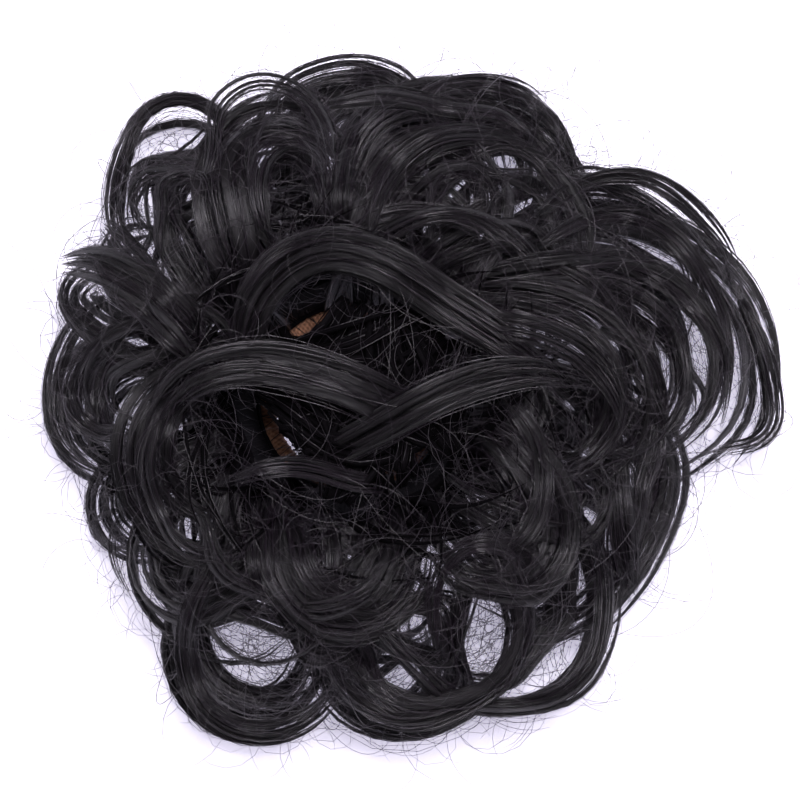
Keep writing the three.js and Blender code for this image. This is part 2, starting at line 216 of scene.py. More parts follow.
# Locks that stand out where the photo shows them: layer, width and strips, then stations to the right
# and back of the ring's middle. Layer 0 is the under row's and 2 the top row's. Lengths in millimetres.
outerLocks = [
    (2.15, 8, 5, [(-27, 10), (-38, 17), (-48, 24), (-58, 29), (-68, 30)]),
    (2.1, 5, 3, [(-33, 14), (-42, 23), (-49, 31), (-54, 37), (-58, 40)]),
    (1.3, 5.5, 4, [
        (-24, 57), (-31, 65), (-39, 68.5), (-47, 66), (-52, 58), (-54.5, 47), (-54, 38), (-50, 30),
    ]),
    (1.5, 8, 5, [(-35, 58), (-39, 54), (-42, 46), (-40, 35), (-34, 24), (-29, 15)]),
    (1.75, 4.0, 3, [(-20, 36), (-20, 47), (-16, 54), (-11, 53), (-7, 47), (-6, 39), (-11, 33)]),
    (0.6, 3.0, 2, [(-20, 69), (-15, 76), (-6, 79), (4, 79), (13, 76), (18, 68)]),
    (0.9, 3.0, 2, [(-18, 66), (-12, 73), (-2, 76), (8, 75), (14, 69)]),
    (1.1, 7.0, 5, [(-5, 55), (2, 63), (11, 68), (22, 71), (35, 70), (44, 64), (50, 55), (51, 47)]),
    (1.6, 6.0, 4, [(0, 48), (5, 60), (15, 65), (26, 64), (34, 59), (36, 49)]),
    (0.8, 3.5, 2, [(34, 44), (43, 51), (54, 53), (66, 51), (77, 43), (85, 32), (89, 21)]),
    (1.0, 3.0, 2, [(37, 41), (47, 47), (59, 48), (71, 43), (80, 33), (87, 22), (92, 10)]),
    (1.7, 3.5, 3, [(44, 30), (54, 25), (61, 15), (66, 3), (71, -8), (74, -12)]),
    (0.9, 5.0, 3, [(66, 0), (69, -8), (68, -18), (66, -26), (69, -31), (72, -29)]),
    (1.2, 7.0, 5, [(56, -1), (59, -13), (60, -24), (61, -35), (64, -47)]),
    (2.0, 3.0, 2, [(20, -57), (19, -44), (23, -37), (30, -34), (38, -38), (42, -48)]),
    (1.6, 6.0, 4, [(10, -47), (22, -48), (27, -56), (25, -65), (18, -72), (8, -74)]),
    (1.75, 4.0, 3, [(-2, -47), (2, -56), (8, -65), (15, -71), (26, -71)]),
    (0.25, 1.2, 1, [(-37, -24), (-51, -25), (-60, -27), (-62, -30), (-57, -34), (-46, -36), (-37, -38)]),
    (0.3, 1.5, 1, [(-33, -20), (-46, -22), (-54, -27), (-56, -34), (-54, -41), (-51, -47)]),
    (1.95, 5.0, 3, [(-11, -24), (-12, -35), (-8, -44), (2, -49), (11, -49)]),
    (1.9, 5.0, 3, [(-19, -24), (-20, -38), (-16, -51), (-8, -59), (0, -58)]),
    (1.9, 4.0, 3, [(34, -1), (41, -10), (43, -22), (39, -33), (31, -38)]),
]

# The camera, which the gaps are charted from
view = {
    "elevation": 86,
    "lens": 135,
    "sensor": 36,
    "millimetresPerPixel": 0.2276,
    "middle": (48, -5),  # pixels from the ring's middle to the picture's, right and up
    "pixels": 800,
    "height": 28 * mm,
}
viewScale = view["millimetresPerPixel"] * mm
viewMiddle = np.array(view["middle"]) * viewScale
viewAim = np.array([ringCentre[0] + viewMiddle[0], ringCentre[1] + viewMiddle[1], view["height"]])
viewDistance = view["pixels"] * viewScale * view["lens"] / view["sensor"]
viewLean = math.radians(90 - view["elevation"])
viewBack = np.array([0, -math.sin(viewLean), math.cos(viewLean)])
viewUp = np.array([0, math.cos(viewLean), math.sin(viewLean)])

# Gaps between the curls where the surface shows through: right and up from the ring's middle as the
# picture shows them, and radius, in millimetres
gaps = [
    (-23.2, -55.8, 5.5), (-32, -56, 1.6), (11.5, -65, 4), (30.5, -52.5, 5), (31.5, -59, 5),
    (46.5, -61.5, 4.5), (54, -28.5, 2.2), (64.4, -0.5, 1.6), (78.7, 12, 2.6), (79.5, 7, 2.4),
    (88.6, -1, 2), (88.4, -6, 2), (81.9, 33, 1.8), (82.4, 28, 1.8), (66, 34, 2.2),
    (56.4, 45.5, 1.8), (56.4, 34, 1.8), (35, 53.5, 3.4), (-39.6, 58, 4.6), (-46.5, 42, 2.2),
    (-39.4, 34, 1.8), (-31, 15, 2.8), (-50, 12, 2.6), (-37, -32, 2.6),
]
gapLook = {
    "spread": 2.6,
    "core": 0.6,
    "lace": 0.1,  # the share of strands that cross a gap all the same
    "smoothings": 3,
}

# Places where the elastic shows, in the same way, and how far each kind of hair keeps out of them
windows = [
    (-12.5, 15.5, 2.2), (-10.3, 17, 2.2), (-8, 18.3, 2.2), (-21, -4, 1.5), (-20.4, -7, 1.5),
    (-18.9, -10.2, 1.5), (-16.6, -13.7, 1.5), (-13, -16.4, 1.5), (-9, -18.9, 1.5),
]
windowCore = {"combed": 0.5, "veil": 1, "links": 1, "frizz": 0.7}


# Places in the picture's plane, from the ring's middle
def placeInPicture(points):
    offset = points - viewAim
    larger = viewDistance / (viewDistance - offset @ viewBack)
    return np.stack([offset[..., 0] * larger, offset @ viewUp * larger], axis=-1) + viewMiddle


# Hair goes round a gap instead of through it
def partAtGaps(path):
    path = path.copy()
    for right, up, radius in gaps:
        away = placeInPicture(path) - np.array([right, up]) * mm
        distance = np.maximum(np.linalg.norm(away, axis=-1, keepdims=True), 1e-6)
        inner, outer = radius * mm, radius * gapLook["spread"] * mm
        moved = inner + distance * (1 - inner / outer)
        path[..., :2] += np.where(distance < outer, away * (moved / distance - 1), 0)
    for i in range(gapLook["smoothings"]):
        path[:, 1:-1] = (path[:, :-2] + 2 * path[:, 1:-1] + path[:, 2:]) / 4
    return path


# Which paths keep out of the middle of every place, down to a share of its radius
def clearOf(places, core, paths):
    keep = np.ones(len(paths), bool)
    between = (paths[:, 1:] + paths[:, :-1]) / 2
    flat = placeInPicture(np.concatenate([paths, between], axis=1))
    for right, up, radius in places:
        distance = np.linalg.norm(flat - np.array([right, up]) * mm, axis=-1).min(axis=1)
        keep &= distance > radius * core * mm
    return keep


# How far a track's middle lies from the elastic's, and the angle from one track to the next
trackSeat = elasticRadius + form["clearance"] + form["trackRadius"]
trackStep = 2 * math.asin((form["trackRadius"] + form["clearance"] / 2) / trackSeat)


def polar(radius, bearing):
    angle = math.radians(bearing)
    return np.array([radius * math.cos(angle), radius * math.sin(angle), 0.0])


# A cubic from one value to another, by the slopes at both
def hermite(t, start, startSlope, end, endSlope):
    return (
        (2 * t**3 - 3 * t**2 + 1) * start
        + (t**3 - 2 * t**2 + t) * startSlope
        + (3 * t**2 - 2 * t**3) * end
        + (t**3 - t**2) * endSlope
    )


# A smooth curve through the stations of a table, for many places at once
def smoothTable(xs, ys, x):
    xs, ys = np.asarray(xs, float), np.asarray(ys, float)
    slope = np.empty_like(ys)
    slope[1:-1] = (ys[2:] - ys[:-2]) / (xs[2:] - xs[:-2])
    slope[0] = (ys[1] - ys[0]) / (xs[1] - xs[0])
    slope[-1] = (ys[-1] - ys[-2]) / (xs[-1] - xs[-2])
    x = np.clip(x, xs[0], xs[-1])
    i = np.clip(np.searchsorted(xs, x, side="right") - 1, 0, len(xs) - 2)
    span = xs[i + 1] - xs[i]
    t = (x - xs[i]) / span
    return hermite(t, ys[i], span * slope[i], ys[i + 1], span * slope[i + 1])


def trackOf(row):
    angle = row["side"] * trackStep
    return ringRadius + trackSeat * math.cos(angle), ringCentre[2] + trackSeat * math.sin(angle)


def matLength(row):
    return row["mat"] * (form["spreadRadius"] - trackOf(row)[0])


# The middle of a row's hair at a distance from the ring's axis, and how far a lock may lie off it
def shellAt(row, radius):
    trackRadius, trackHeight = trackOf(row)
    reach = form["spreadRadius"] - trackRadius
    xs = [trackRadius] + [trackRadius + along * reach for along, up, play in row["heights"]]
    ups = [trackHeight] + [up * form["pileHeight"] for along, up, play in row["heights"]]
    plays = [0] + [play * form["pileHeight"] for along, up, play in row["heights"]]
    return smoothTable(xs, ups, radius), smoothTable(xs, plays, radius)


def unit(vectors):
    return vectors / np.maximum(np.linalg.norm(vectors, axis=-1, keepdims=True), 1e-12)


# A centripetal curve through stations, in even steps, and the share of its length at each station
def smoothPath(stations, count):
    points = np.vstack([2 * stations[0] - stations[1], stations, 2 * stations[-1] - stations[-2]])
    steps = np.sqrt(np.linalg.norm(np.diff(points, axis=0), axis=1))
    dense = []
    fine = 14
    t = np.linspace(0, 1, fine, endpoint=False)[:, None]
    for i in range(len(stations) - 1):
        p0, p1, p2, p3 = points[i : i + 4]
        d0, d1, d2 = steps[i : i + 3]
        m1 = ((p1 - p0) / d0 - (p2 - p0) / (d0 + d1) + (p2 - p1) / d1) * d1
        m2 = ((p2 - p1) / d1 - (p3 - p1) / (d1 + d2) + (p3 - p2) / d2) * d1
        dense.append(hermite(t, p1, m1, p2, m2))
    dense = np.vstack(dense + [stations[-1][None]])
    arc = np.concatenate([[0], np.cumsum(np.linalg.norm(np.diff(dense, axis=0), axis=1))])
    even = np.linspace(0, arc[-1], count)
    path = np.stack([np.interp(even, arc, dense[:, k]) for k in range(3)], axis=1)
    return path, arc[::fine] / arc[-1]


# A lock: its middle line, the frame along it and its half sizes. It starts at the track, where it is
# fanned out, and from the station where the CAD's lock begins it has the CAD's own sizes.
def lockOf(stations, width, rootStation, fan):
    path, shares = smoothPath(np.array(stations), form["lockSteps"])
    share = np.linspace(0, 1, form["lockSteps"])
    begins = shares[rootStation]
    own = np.clip((share - begins) / (1 - begins), 0, 1)
    fromRoot = form["rootShare"] + own * form["swell"]
    fromTip = form["tipShare"] + (1 - own) * form["swell"]
    swell = np.minimum(1, np.minimum(fromRoot, fromTip))
    halfAcross = swell * width * form["lockWidth"] / 2
    halfUp = swell * form["lockThickness"] / 2
    if begins > 0:
        early = np.clip(share / begins, 0, 1)
        halfAcross = fan * (1 - early) + halfAcross * early
        halfUp = form["trackRadius"] * form["seatShare"] * (1 - early) + halfUp * early
    path[:, 2] -= form["droop"] * np.clip((share - 0.75) * 4, 0, 1) ** 2  # over the last quarter
    travelled = np.concatenate([[0], np.cumsum(np.linalg.norm(np.diff(path, axis=0), axis=1))])
    phase = stations[0][0] / mm + stations[-1][1] / mm
    waves = np.sin(travelled / form["waveLength"] * 2 * np.pi + phase)
    path[:, 2] += form["wave"] * np.minimum(1, share * 3) * waves
    tangent = unit(np.gradient(path, axis=0))
    across = unit(np.cross([0, 0, 1], tangent))
    up = np.cross(tangent, across)
    return {
        "path": path + ringAxis,
        "across": across,
        "up": up,
        "halfAcross": halfAcross,
        "halfUp": halfUp,
        "width": width,
    }


# A curl of a row. One that isn't in the CAD sinks on its way to the row below, if that is given.
def curlLock(row, curl, index, below=None):
    root, far, reach, loop, lead, wrap, shrink, tail, width, tilt = curl
    hand = math.copysign(1, far - root)
    loop = loop * form["curlRadius"]
    centre = polar(reach * form["spreadRadius"] - width * form["lockWidth"] / 2 - loop, far)
    trackRadius, trackHeight = trackOf(row)
    stations = [polar(trackRadius + form["matRoot"] * matLength(row), root)]
    turns = math.ceil((lead + wrap) / form["loopStep"])
    further = 2 if tail == 0 and wrap < form["shortWrap"] else 0
    for i in range(turns + 1 + further):
        radius = loop * max(0.3, 1 - shrink * (i / turns) ** 2)
        turn = -lead + (lead + wrap) * i / turns
        stations.append(polar(radius, far + hand * turn) + centre)
    if tail > 0:
        stations.append(polar(tail * form["spreadRadius"], far + (far - root) * form["tailSwing"]))
    aside = polar(1 / loop, far + 90)
    last = len(stations) - 1
    for i, station in enumerate(stations):
        distance = math.hypot(station[0], station[1])
        middle, play = shellAt(row, distance)
        if below:
            share = i / last
            middle = middle * (1 - share) + shellAt(below, distance)[0] * share
        roll = tilt * max(-1, min(1, float(station @ aside)))
        wander = form["ripple"] * math.sin(i * 1.7 + index * 2.4)
        free = 0 if i == 0 else -1 if tail > 0 and i == last else max(-1, min(1, roll + wander))
        station[2] = middle + play * free
    seat = polar(trackRadius, root)
    seat[2] = trackHeight
    halfway = polar(trackRadius + form["matRoot"] / 2 * matLength(row), root)
    halfway[2] = shellAt(row, math.hypot(halfway[0], halfway[1]))[0]
    fan = math.pi * trackRadius / len(row["curls"])
    return lockOf([seat, halfway] + stations, width, 2, fan)


crownLook = {"strips": 22, "onStrip": 4, "frizz": 0.45, "hairSteps": 16}


# A lock that passes over the hole
def crossingLock(width, table):
    stations = []
    for bearing, reach, up in table:
        station = polar(reach * form["spreadRadius"], bearing)
        station[2] = up * form["pileHeight"]
        stations.append(station)
    return lockOf(stations, width, 0, 0)


# Thin locks over the others, as the picture shows them: layer, width and strips, then right and up
# from the ring's middle, in millimetres
overLocks = [
    (1.6, 6, 4, [(29.1, 22.8), (40.5, 22.3), (51.9, 19.8), (61.0, 12.5), (65.5, 1.1)]),
    (1.1, 7, 4, [(54.2, 25.0), (65.5, 20.5), (74.7, 11.4), (78.7, 0.0), (76.9, -10.2)]),
    (1.8, 4, 3, [(-1.6, 31.9), (-2.7, 43.2), (-1.6, 53.5), (2.3, 63.0), (9.8, 69.0)]),
    (0.7, 4, 3, [
        (-56.4, 21.6), (-62.8, 15.9), (-66.9, 8.0), (-68.3, -0.5), (-67.4, -7.5), (-63.7, -13.0),
        (-57.8, -16.6), (-51.0, -18.4),
    ]),
    (1.9, 4, 3, [(4.1, 19.3), (13.2, 28.9), (21.2, 36.4), (29.1, 43.2), (39.4, 46.2)]),
    (1.9, 5, 4, [
        (31.4, -30.7), (37.1, -42.1), (36.0, -56.9), (25.7, -69.9), (13.2, -74.0), (1.8, -70.1),
        (-5.0, -61.5), (-3.9, -50.1),
    ]),
    (1.9, 5, 4, [
        (6.4, -53.5), (12.1, -62.1), (22.3, -69.0), (36.0, -71.2), (49.2, -66.7), (57.1, -56.9),
        (58.9, -42.1), (54.2, -28.4), (46.2, -20.5),
    ]),
    (1.9, 5, 4, [
        (-31.2, -37.6), (-36.9, -48.9), (-37.8, -60.3), (-34.6, -70.6), (-24.4, -76.7), (-13.0, -75.8),
        (-3.9, -68.3), (-0.5, -58.0),
    ]),
    (2.3, 5, 4, [(20.0, 14.8), (31.4, 16.6), (42.8, 14.8), (53.0, 9.8), (59.9, 1.1), (63.3, -10.2)]),
    (2.3, 5, 4, [(-36.9, 9.1), (-42.6, 14.8), (-49.4, 21.6), (-56.2, 30.3), (-58.0, 38.5)]),
    (2.5, 4, 2, [
        (-33.5, 51.2), (-32.3, 61.5), (-27.8, 68.3), (-20.9, 71.2), (-13.0, 69.4), (-7.3, 62.6),
        (-5.7, 53.5), (-6.1, 46.7),
    ]),
    (2.5, 4, 2, [
        (4.1, 37.6), (6.4, 46.7), (10.9, 53.5), (17.8, 58.0), (26.9, 59.9), (36.0, 58.0), (46.2, 56.4),
    ]),
    (2.5, 4, 2, [
        (-25.5, 21.6), (-20.5, 30.3), (-11.8, 35.3), (-0.5, 36.2), (10.9, 30.3), (22.3, 21.6),
        (33.7, 12.5), (40.5, 4.6),
    ]),
    (2.5, 4, 2, [
        (-5.0, 19.3), (0.0, 30.3), (9.1, 37.1), (20.0, 41.2), (31.4, 39.4), (40.5, 33.0), (45.5, 21.6),
    ]),
    (2.4, 3.5, 2, [
        (-19.8, 37.6), (-21.6, 46.7), (-19.8, 54.6), (-14.1, 58.7), (-7.3, 55.8), (-5.0, 47.8),
        (-6.1, 41.0),
    ]),
    (2.4, 3.5, 2, [(-0.5, 35.3), (4.1, 39.8), (13.2, 42.1), (22.3, 41.0), (31.4, 36.4), (38.2, 29.6)]),
    (2.4, 3.5, 2, [
        (-43.7, 31.9), (-44.8, 41.0), (-43.7, 48.9), (-39.1, 54.2), (-33.5, 51.2), (-31.2, 43.2),
        (-30.0, 35.3),
    ]),
    (2.25, 4, 2, [(-5.0, 66.0), (8.6, 68.3), (22.3, 66.0), (33.7, 63.7), (42.8, 55.8)]),
    (2.25, 4, 2, [(-22.1, 46.7), (-23.2, 55.8), (-20.9, 63.7), (-16.4, 68.3), (-7.3, 71.7)]),
    (2.25, 4, 2, [(17.8, 35.3), (20.0, 46.7), (26.9, 52.3), (36.0, 53.5), (43.9, 48.9), (47.3, 41.0)]),
    (2.25, 4, 2, [
        (-34.6, -28.4), (-31.2, -37.6), (-20.9, -46.7), (-7.3, -48.9), (4.1, -44.4), (10.9, -35.3),
    ]),
    (2.25, 4, 2, [(-43.7, -5.7), (-46.0, -17.1), (-42.6, -28.4), (-34.6, -35.3), (-23.2, -37.6)]),
    (1.7, 4, 3, [
        (42.8, 41.0), (51.9, 47.8), (63.3, 50.1), (72.4, 46.7), (81.5, 38.7), (87.2, 29.6), (88.3, 22.8),
    ]),
    (1.7, 4, 3, [
        (42.8, 34.1), (49.6, 38.7), (59.9, 42.1), (70.1, 38.7), (79.2, 29.6), (84.9, 18.2), (86.0, 6.8),
        (84.9, -5.7), (81.5, -10.2),
    ]),
    (1.7, 4, 3, [
        (49.6, 29.6), (61.0, 31.9), (72.4, 27.3), (80.3, 18.2), (84.9, 8.0), (86.5, -3.4), (82.6, -9.6),
    ]),
    (1.7, 4, 3, [(13.2, 66.0), (22.3, 70.6), (31.4, 71.7), (40.5, 68.3), (46.2, 62.6)]),
    (1.7, 4, 3, [(-64.2, 0.5), (-63.5, -4.1), (-58.9, -8.0), (-51.2, -8.6), (-45.3, -7.3)]),
    (1.7, 4, 3, [(56.4, 14.8), (65.5, 10.2), (70.1, -1.1), (69.0, -12.5), (65.5, -23.9), (67.8, -31.9)]),
    (1.2, 4, 3, [
        (88.3, 21.6), (93.3, 10.2), (95.6, 1.1), (95.6, -6.8), (91.7, -10.7), (84.9, -12.1),
        (76.9, -15.2),
    ]),
    (1.2, 4, 3, [(56.4, -12.5), (65.5, -14.8), (65.5, -28.4), (62.1, -39.8), (58.7, -46.7)]),
    (1.2, 4, 3, [(-57.4, 33.0), (-54.4, 30.3), (-50.5, 25.0), (-45.3, 19.8), (-39.8, 13.7)]),
    (1.2, 4, 3, [(-50.5, 12.5), (-56.2, 4.6), (-57.4, -3.4), (-52.8, -11.4), (-43.7, -14.8)]),
]


outerLook = {
    "lift": 2 * mm,
    "ripple": 1.5 * mm,
    "thickness": 0.7,
    "strips": 2.8,
    "onStrip": 5,
    "overStrips": 2.2,
    "onOver": 4,
    "hairSteps": 16,
}


# A lock between the rows' shells. One that is charted from the picture is moved to where it shows there.
def outerLock(layer, width, table, charted=False):
    low = min(int(layer), 1)
    share = layer - low
    stations = []
    for right, back in table:
        distance = math.hypot(right, back) * mm
        lower, upper = shellAt(rows[low], distance)[0], shellAt(rows[low + 1], distance)[0]
        height = lower * (1 - share) + upper * share + outerLook["lift"]
        station = np.array([right * mm, back * mm, height])
        if charted:
            shown = placeInPicture(station + ringAxis)
            station[:2] += station[:2] - shown
        stations.append(station)
    for i, station in enumerate(stations):
        station[2] += outerLook["ripple"] * math.sin(i * 1.9 + width * 5)
    lock = lockOf(stations, width * mm / form["lockWidth"], 0, 0)
    lock["halfUp"] = lock["halfUp"] * outerLook["thickness"]
    return lock


# Thin locks low over the hole, from one side of the ring to the other. Their strips wear the darkest matte
# finish, so they are hair and also a dark sheet of painted shade over the hole.
veilLook = {
    "count": 54,
    "low": 36.5 * mm,
    "high": 43 * mm,
    "reach": (19 * mm, 27 * mm),
    "short": 17.6 * mm,
    "windowAngle": 11,
    "scatter": 8,
    "span": (90, 170),
    "aside": (2 * mm, 15 * mm),
    "width": (0.6, 1.0),
    "strips": 6,
    "onStrip": 1,
    "hairSteps": 12,
}


# One end of a thin lock, which stops short of the elastic where that shows
def veilEnd(bearing):
    reach = randomHair.uniform(*veilLook["reach"])
    for right, up, radius in windows:
        apart = (bearing - math.degrees(math.atan2(up, right)) + 180) % 360 - 180
        if abs(apart) < veilLook["windowAngle"]:
            reach = veilLook["short"]
    return polar(reach, bearing)


def veilLocks():
    rng = randomHair
    locks = []
    for i in range(veilLook["count"]):
        begin = 360 * i / veilLook["count"] + rng.uniform(-veilLook["scatter"], veilLook["scatter"])
        end = begin + rng.uniform(*veilLook["span"])
        middle = polar(rng.uniform(*veilLook["aside"]), (begin + end) / 2)
        stations = [veilEnd(begin), middle, veilEnd(end)]
        for station in stations:
            station[2] = rng.uniform(veilLook["low"], veilLook["high"])
        locks.append(lockOf(stations, rng.uniform(*veilLook["width"]), 0, 0))
    return locks


floorGap = 0.15 * mm  # no hair lies lower than this


# A mesh from arrays: rings of points joined by quads, closed at both ends
def sweepMesh(name, paths, across, up, halfAcross, halfUp, sides, tones):
    count, steps = paths.shape[:2]
    angles = np.arange(sides) * 2 * np.pi / sides
    cosine, sine = np.cos(angles)[None, None, :, None], np.sin(angles)[None, None, :, None]
    points = (
        paths[:, :, None, :]
        + across[:, :, None, :] * halfAcross[:, :, None, None] * cosine
        + up[:, :, None, :] * halfUp[:, :, None, None] * sine
    )
    points[..., 2] = np.maximum(points[..., 2], floorGap)
    index = np.arange(count * steps * sides).reshape(count, steps, sides)
    after = np.roll(index, -1, axis=2)
    quads = np.stack([index[:, :-1], after[:, :-1], after[:, 1:], index[:, 1:]], axis=-1)
    starts = index[:, 0, ::-1].reshape(count, sides)
    ends = index[:, -1, :].reshape(count, sides)
    loops = np.concatenate([quads.ravel(), starts.ravel(), ends.ravel()])
    quadCount = quads.size // 4
    loopStarts = np.concatenate([
        np.arange(quadCount) * 4,
        quadCount * 4 + np.arange(2 * count) * sides,
    ])
    mesh = bpy.data.meshes.new(name)
    mesh.vertices.add(points.size // 3)
    mesh.vertices.foreach_set("co", points.reshape(-1))
    mesh.loops.add(len(loops))
    mesh.loops.foreach_set("vertex_index", loops.astype(np.int32))
    mesh.polygons.add(len(loopStarts))
    mesh.polygons.foreach_set("loop_start", loopStarts.astype(np.int32))
    mesh.polygons.foreach_set("use_smooth", np.ones(len(loopStarts), bool))
    # The map runs round the section, offset by the strand's own tone, and along the length
    section = np.arange(sides)[None, None, :, None] + np.array([0, 1, 1, 0])
    length = np.arange(steps - 1)[None, :, None, None] + np.array([0, 0, 1, 1])
    u = tones[:, None, None, None] + np.broadcast_to(section / sides, quads.shape)
    v = np.broadcast_to(length / (steps - 1), quads.shape)
    ofEnds = np.repeat(tones, sides)
    uv = np.stack([
        np.concatenate([u.ravel(), ofEnds, ofEnds]),
        np.concatenate([v.ravel(), np.zeros(count * sides), np.ones(count * sides)]),
    ], axis=1)
    layer = mesh.uv_layers.new(name="strandMap")
    layer.uv.foreach_set("vector", uv.astype(np.float32).ravel())
    mesh.update(calc_edges=True)
    mesh.validate()
    piece = bpy.data.objects.new(name, mesh)
    bpy.context.scene.collection.objects.link(piece)
    return piece


strandLook = {
    "steps": 13,
    "sides": 3,
    "onStrip": 5,
    "radius": (0.045 * mm, 0.09 * mm),
    "rootTaper": 8,
    "tipTaper": 3.2,
    "fray": 0.08,
    "spread": 1.5,
    "twist": 0.5,
    "frizz": 0.6,
    "wave": 0.16,
    "beats": (5, 16),
    "clearAcross": 0.2 * mm,
    "clearUp": 0.15 * mm,
}


# Fine tubes along paths, each thin at both ends
def strandMesh(name, paths, radii, tones):
    count, steps = paths.shape[:2]
    tangent = unit(np.gradient(paths, axis=1))
    across = unit(np.cross(tangent, [0.13, 0.21, 0.97]))
    up = np.cross(across, tangent)
    share = np.linspace(0, 1, steps)[None, :]
    atRoot, atTip = share * strandLook["rootTaper"], (1 - share) * strandLook["tipTaper"]
    half = radii[:, None] * np.minimum(1, 0.45 + np.minimum(atRoot, atTip))
    return sweepMesh(name, paths, up, across, half, half, strandLook["sides"], tones)


# Values of some strips at shares of their length
def sample(values, owner, share):
    at = share * (values.shape[1] - 1)
    low = np.clip(at.astype(int), 0, values.shape[1] - 2)
    part = (at - low).reshape(share.shape + (1,) * (values.ndim - 2))
    return values[owner[:, None], low] * (1 - part) + values[owner[:, None], low + 1] * part


stripLook = {
    "steps": 30,
    "sides": 4,
    "inFullLock": 12,
    "width": (0.12, 0.42),
    "thickness": (0.03, 0.07),
    "depth": 0.6,
    "spread": 0.9,
    "scatter": 0.12,
    "loosen": 0.3,
    "sway": 0.14,
    "beats": (3, 8),
    "roll": 0.3,
    "turn": 0.5,
    "shorter": 0.3,
    "taper": 3,
    "keepClear": True,
}

# The same for the shorter curls, for the locks that stand out, and for hair that others mostly cover
shortLook = {**stripLook, "steps": 22}
bluntLook = {**stripLook, "shorter": 0.12, "taper": 8, "width": (0.12, 0.4), "keepClear": False}
lowLook = {**stripLook, "steps": 14}


# A lock is a sheaf of flat strips beside and over each other, which part towards its tip
def stripsOf(lock, count, look=stripLook):
    rng = randomHair
    wide = rng.uniform(0, 1, (count, 1)) ** 1.3
    end = 1 - look["shorter"] * rng.uniform(0, 1, (count, 1)) * (0.4 + 0.6 * wide)
    low, high = look["width"]
    share = end * np.linspace(0, 1, look["steps"])[None, :]
    owner = np.zeros(count, int)
    measures = ("path", "across", "up", "halfAcross", "halfUp")
    along = {key: sample(lock[key][None], owner, share) for key in measures}
    place = ((np.arange(count) + 0.5) / count * 2 - 1) * look["spread"]
    place = place + rng.normal(0, look["scatter"], count)
    depth = rng.uniform(-look["depth"], look["depth"], count)
    beat = rng.uniform(*look["beats"], (2, count, 1))
    phase = rng.uniform(0, 2 * np.pi, (2, count, 1))
    loosen = 1 + look["loosen"] * share
    x = place[:, None] * loosen + look["sway"] * np.sin(beat[0] * share + phase[0])
    y = depth[:, None] * loosen + look["sway"] * np.sin(beat[1] * share + phase[1])
    roll = rng.normal(0, look["roll"], (count, 1)) + rng.normal(0, look["turn"], (count, 1)) * share
    cosine, sine = np.cos(roll)[..., None], np.sin(roll)[..., None]
    taper = np.minimum(1, 0.1 + look["taper"] * (1 - share / end))
    path = partAtGaps(
        along["path"]
        + along["across"] * (x * along["halfAcross"])[..., None]
        + along["up"] * (y * along["halfUp"])[..., None]
    )
    strips = {
        "path": path,
        "across": along["across"] * cosine + along["up"] * sine,
        "up": along["up"] * cosine - along["across"] * sine,
        "halfAcross": along["halfAcross"] * (low + (high - low) * wide) * taper,
        "halfUp": along["halfUp"] * rng.uniform(*look["thickness"], (count, 1)) * taper,
    }
    keep = clearOf(gaps, gapLook["core"], path) | (not look["keepClear"])
    return {key: values[keep] for key, values in strips.items()}


def gather(parts):
    return {key: np.concatenate([part[key] for part in parts]) for key in parts[0]}


# The strips that don't hide the elastic where it shows
def clearStrips(strips, core):
    shows = clearOf(windows, core, strips["path"])
    return {key: values[shows] for key, values in strips.items()}


# The whole part of a strip's tone tells it from the others, so the map still shows its edges
def stripMesh(name, strips):
    tones = randomHair.integers(0, 400, len(strips["path"])).astype(float)
    return sweepMesh(
        name, strips["path"], strips["across"], strips["up"], strips["halfAcross"], strips["halfUp"],
        stripLook["sides"], tones,
    )


# Strands that run along strips, most of them close to the surface
def strandsOn(strips, each, frizz, steps):
    rng = randomHair
    look = strandLook
    owner = np.repeat(np.arange(len(strips["path"])), each)
    count = len(owner)
    start = rng.uniform(0, 0.05, (count, 1))
    end = np.maximum(0.5, 1 - rng.exponential(look["fray"], (count, 1)))
    share = start + (end - start) * np.linspace(0, 1, steps)[None, :]
    aside = rng.uniform(-1, 1, (count, 1)) * (look["spread"] + rng.exponential(frizz, (count, 1)) * share)
    drift = rng.normal(0, look["twist"], (count, 1)) * share
    beat = rng.uniform(*look["beats"], (2, count, 1))
    phase = rng.uniform(0, 2 * np.pi, (2, count, 1))
    wave = look["wave"] * (0.3 + share)
    x = aside + drift + wave * np.sin(beat[0] * share + phase[0])
    face = rng.choice([-1, 1], (count, 1)) * (1 + rng.exponential(frizz, (count, 1)) * share)
    y = face * np.sqrt(np.maximum(0.1, 1 - x**2)) + wave * np.sin(beat[1] * share + phase[1])
    halfAcross = sample(strips["halfAcross"], owner, share) + look["clearAcross"]
    halfUp = sample(strips["halfUp"], owner, share) + look["clearUp"]
    paths = (
        sample(strips["path"], owner, share)
        + sample(strips["across"], owner, share) * (x * halfAcross)[..., None]
        + sample(strips["up"], owner, share) * (y * halfUp)[..., None]
    )
    lace = rng.uniform(0, 1, count) < gapLook["lace"]
    return paths[clearOf(gaps, gapLook["core"], paths) | lace]


def hairMesh(name, paths, radius):
    count = len(paths)
    return strandMesh(name, paths, randomHair.uniform(*radius, count), randomHair.uniform(0, 1, count))


matLook = {
    "steps": 10,
    "around": 120,
    "backing": 0.35,
    "backingThickness": 0.6,
    "mapTurns": 24,
    "strips": 60,
    "onStrip": 2,
    "hairSteps": 12,
    "beyond": 0.16,
    "drift": 0.45,
    "onTop": 0.7,
    "lift": (0.7, 1.2),
    "roll": 0.35,
    "width": (0.5 * mm, 1.2 * mm),
    "thickness": 0.3 * mm,
}


def scallopOf(row, angle):
    return form["matScallop"] * (1 - np.cos(angle * row["lobes"]))


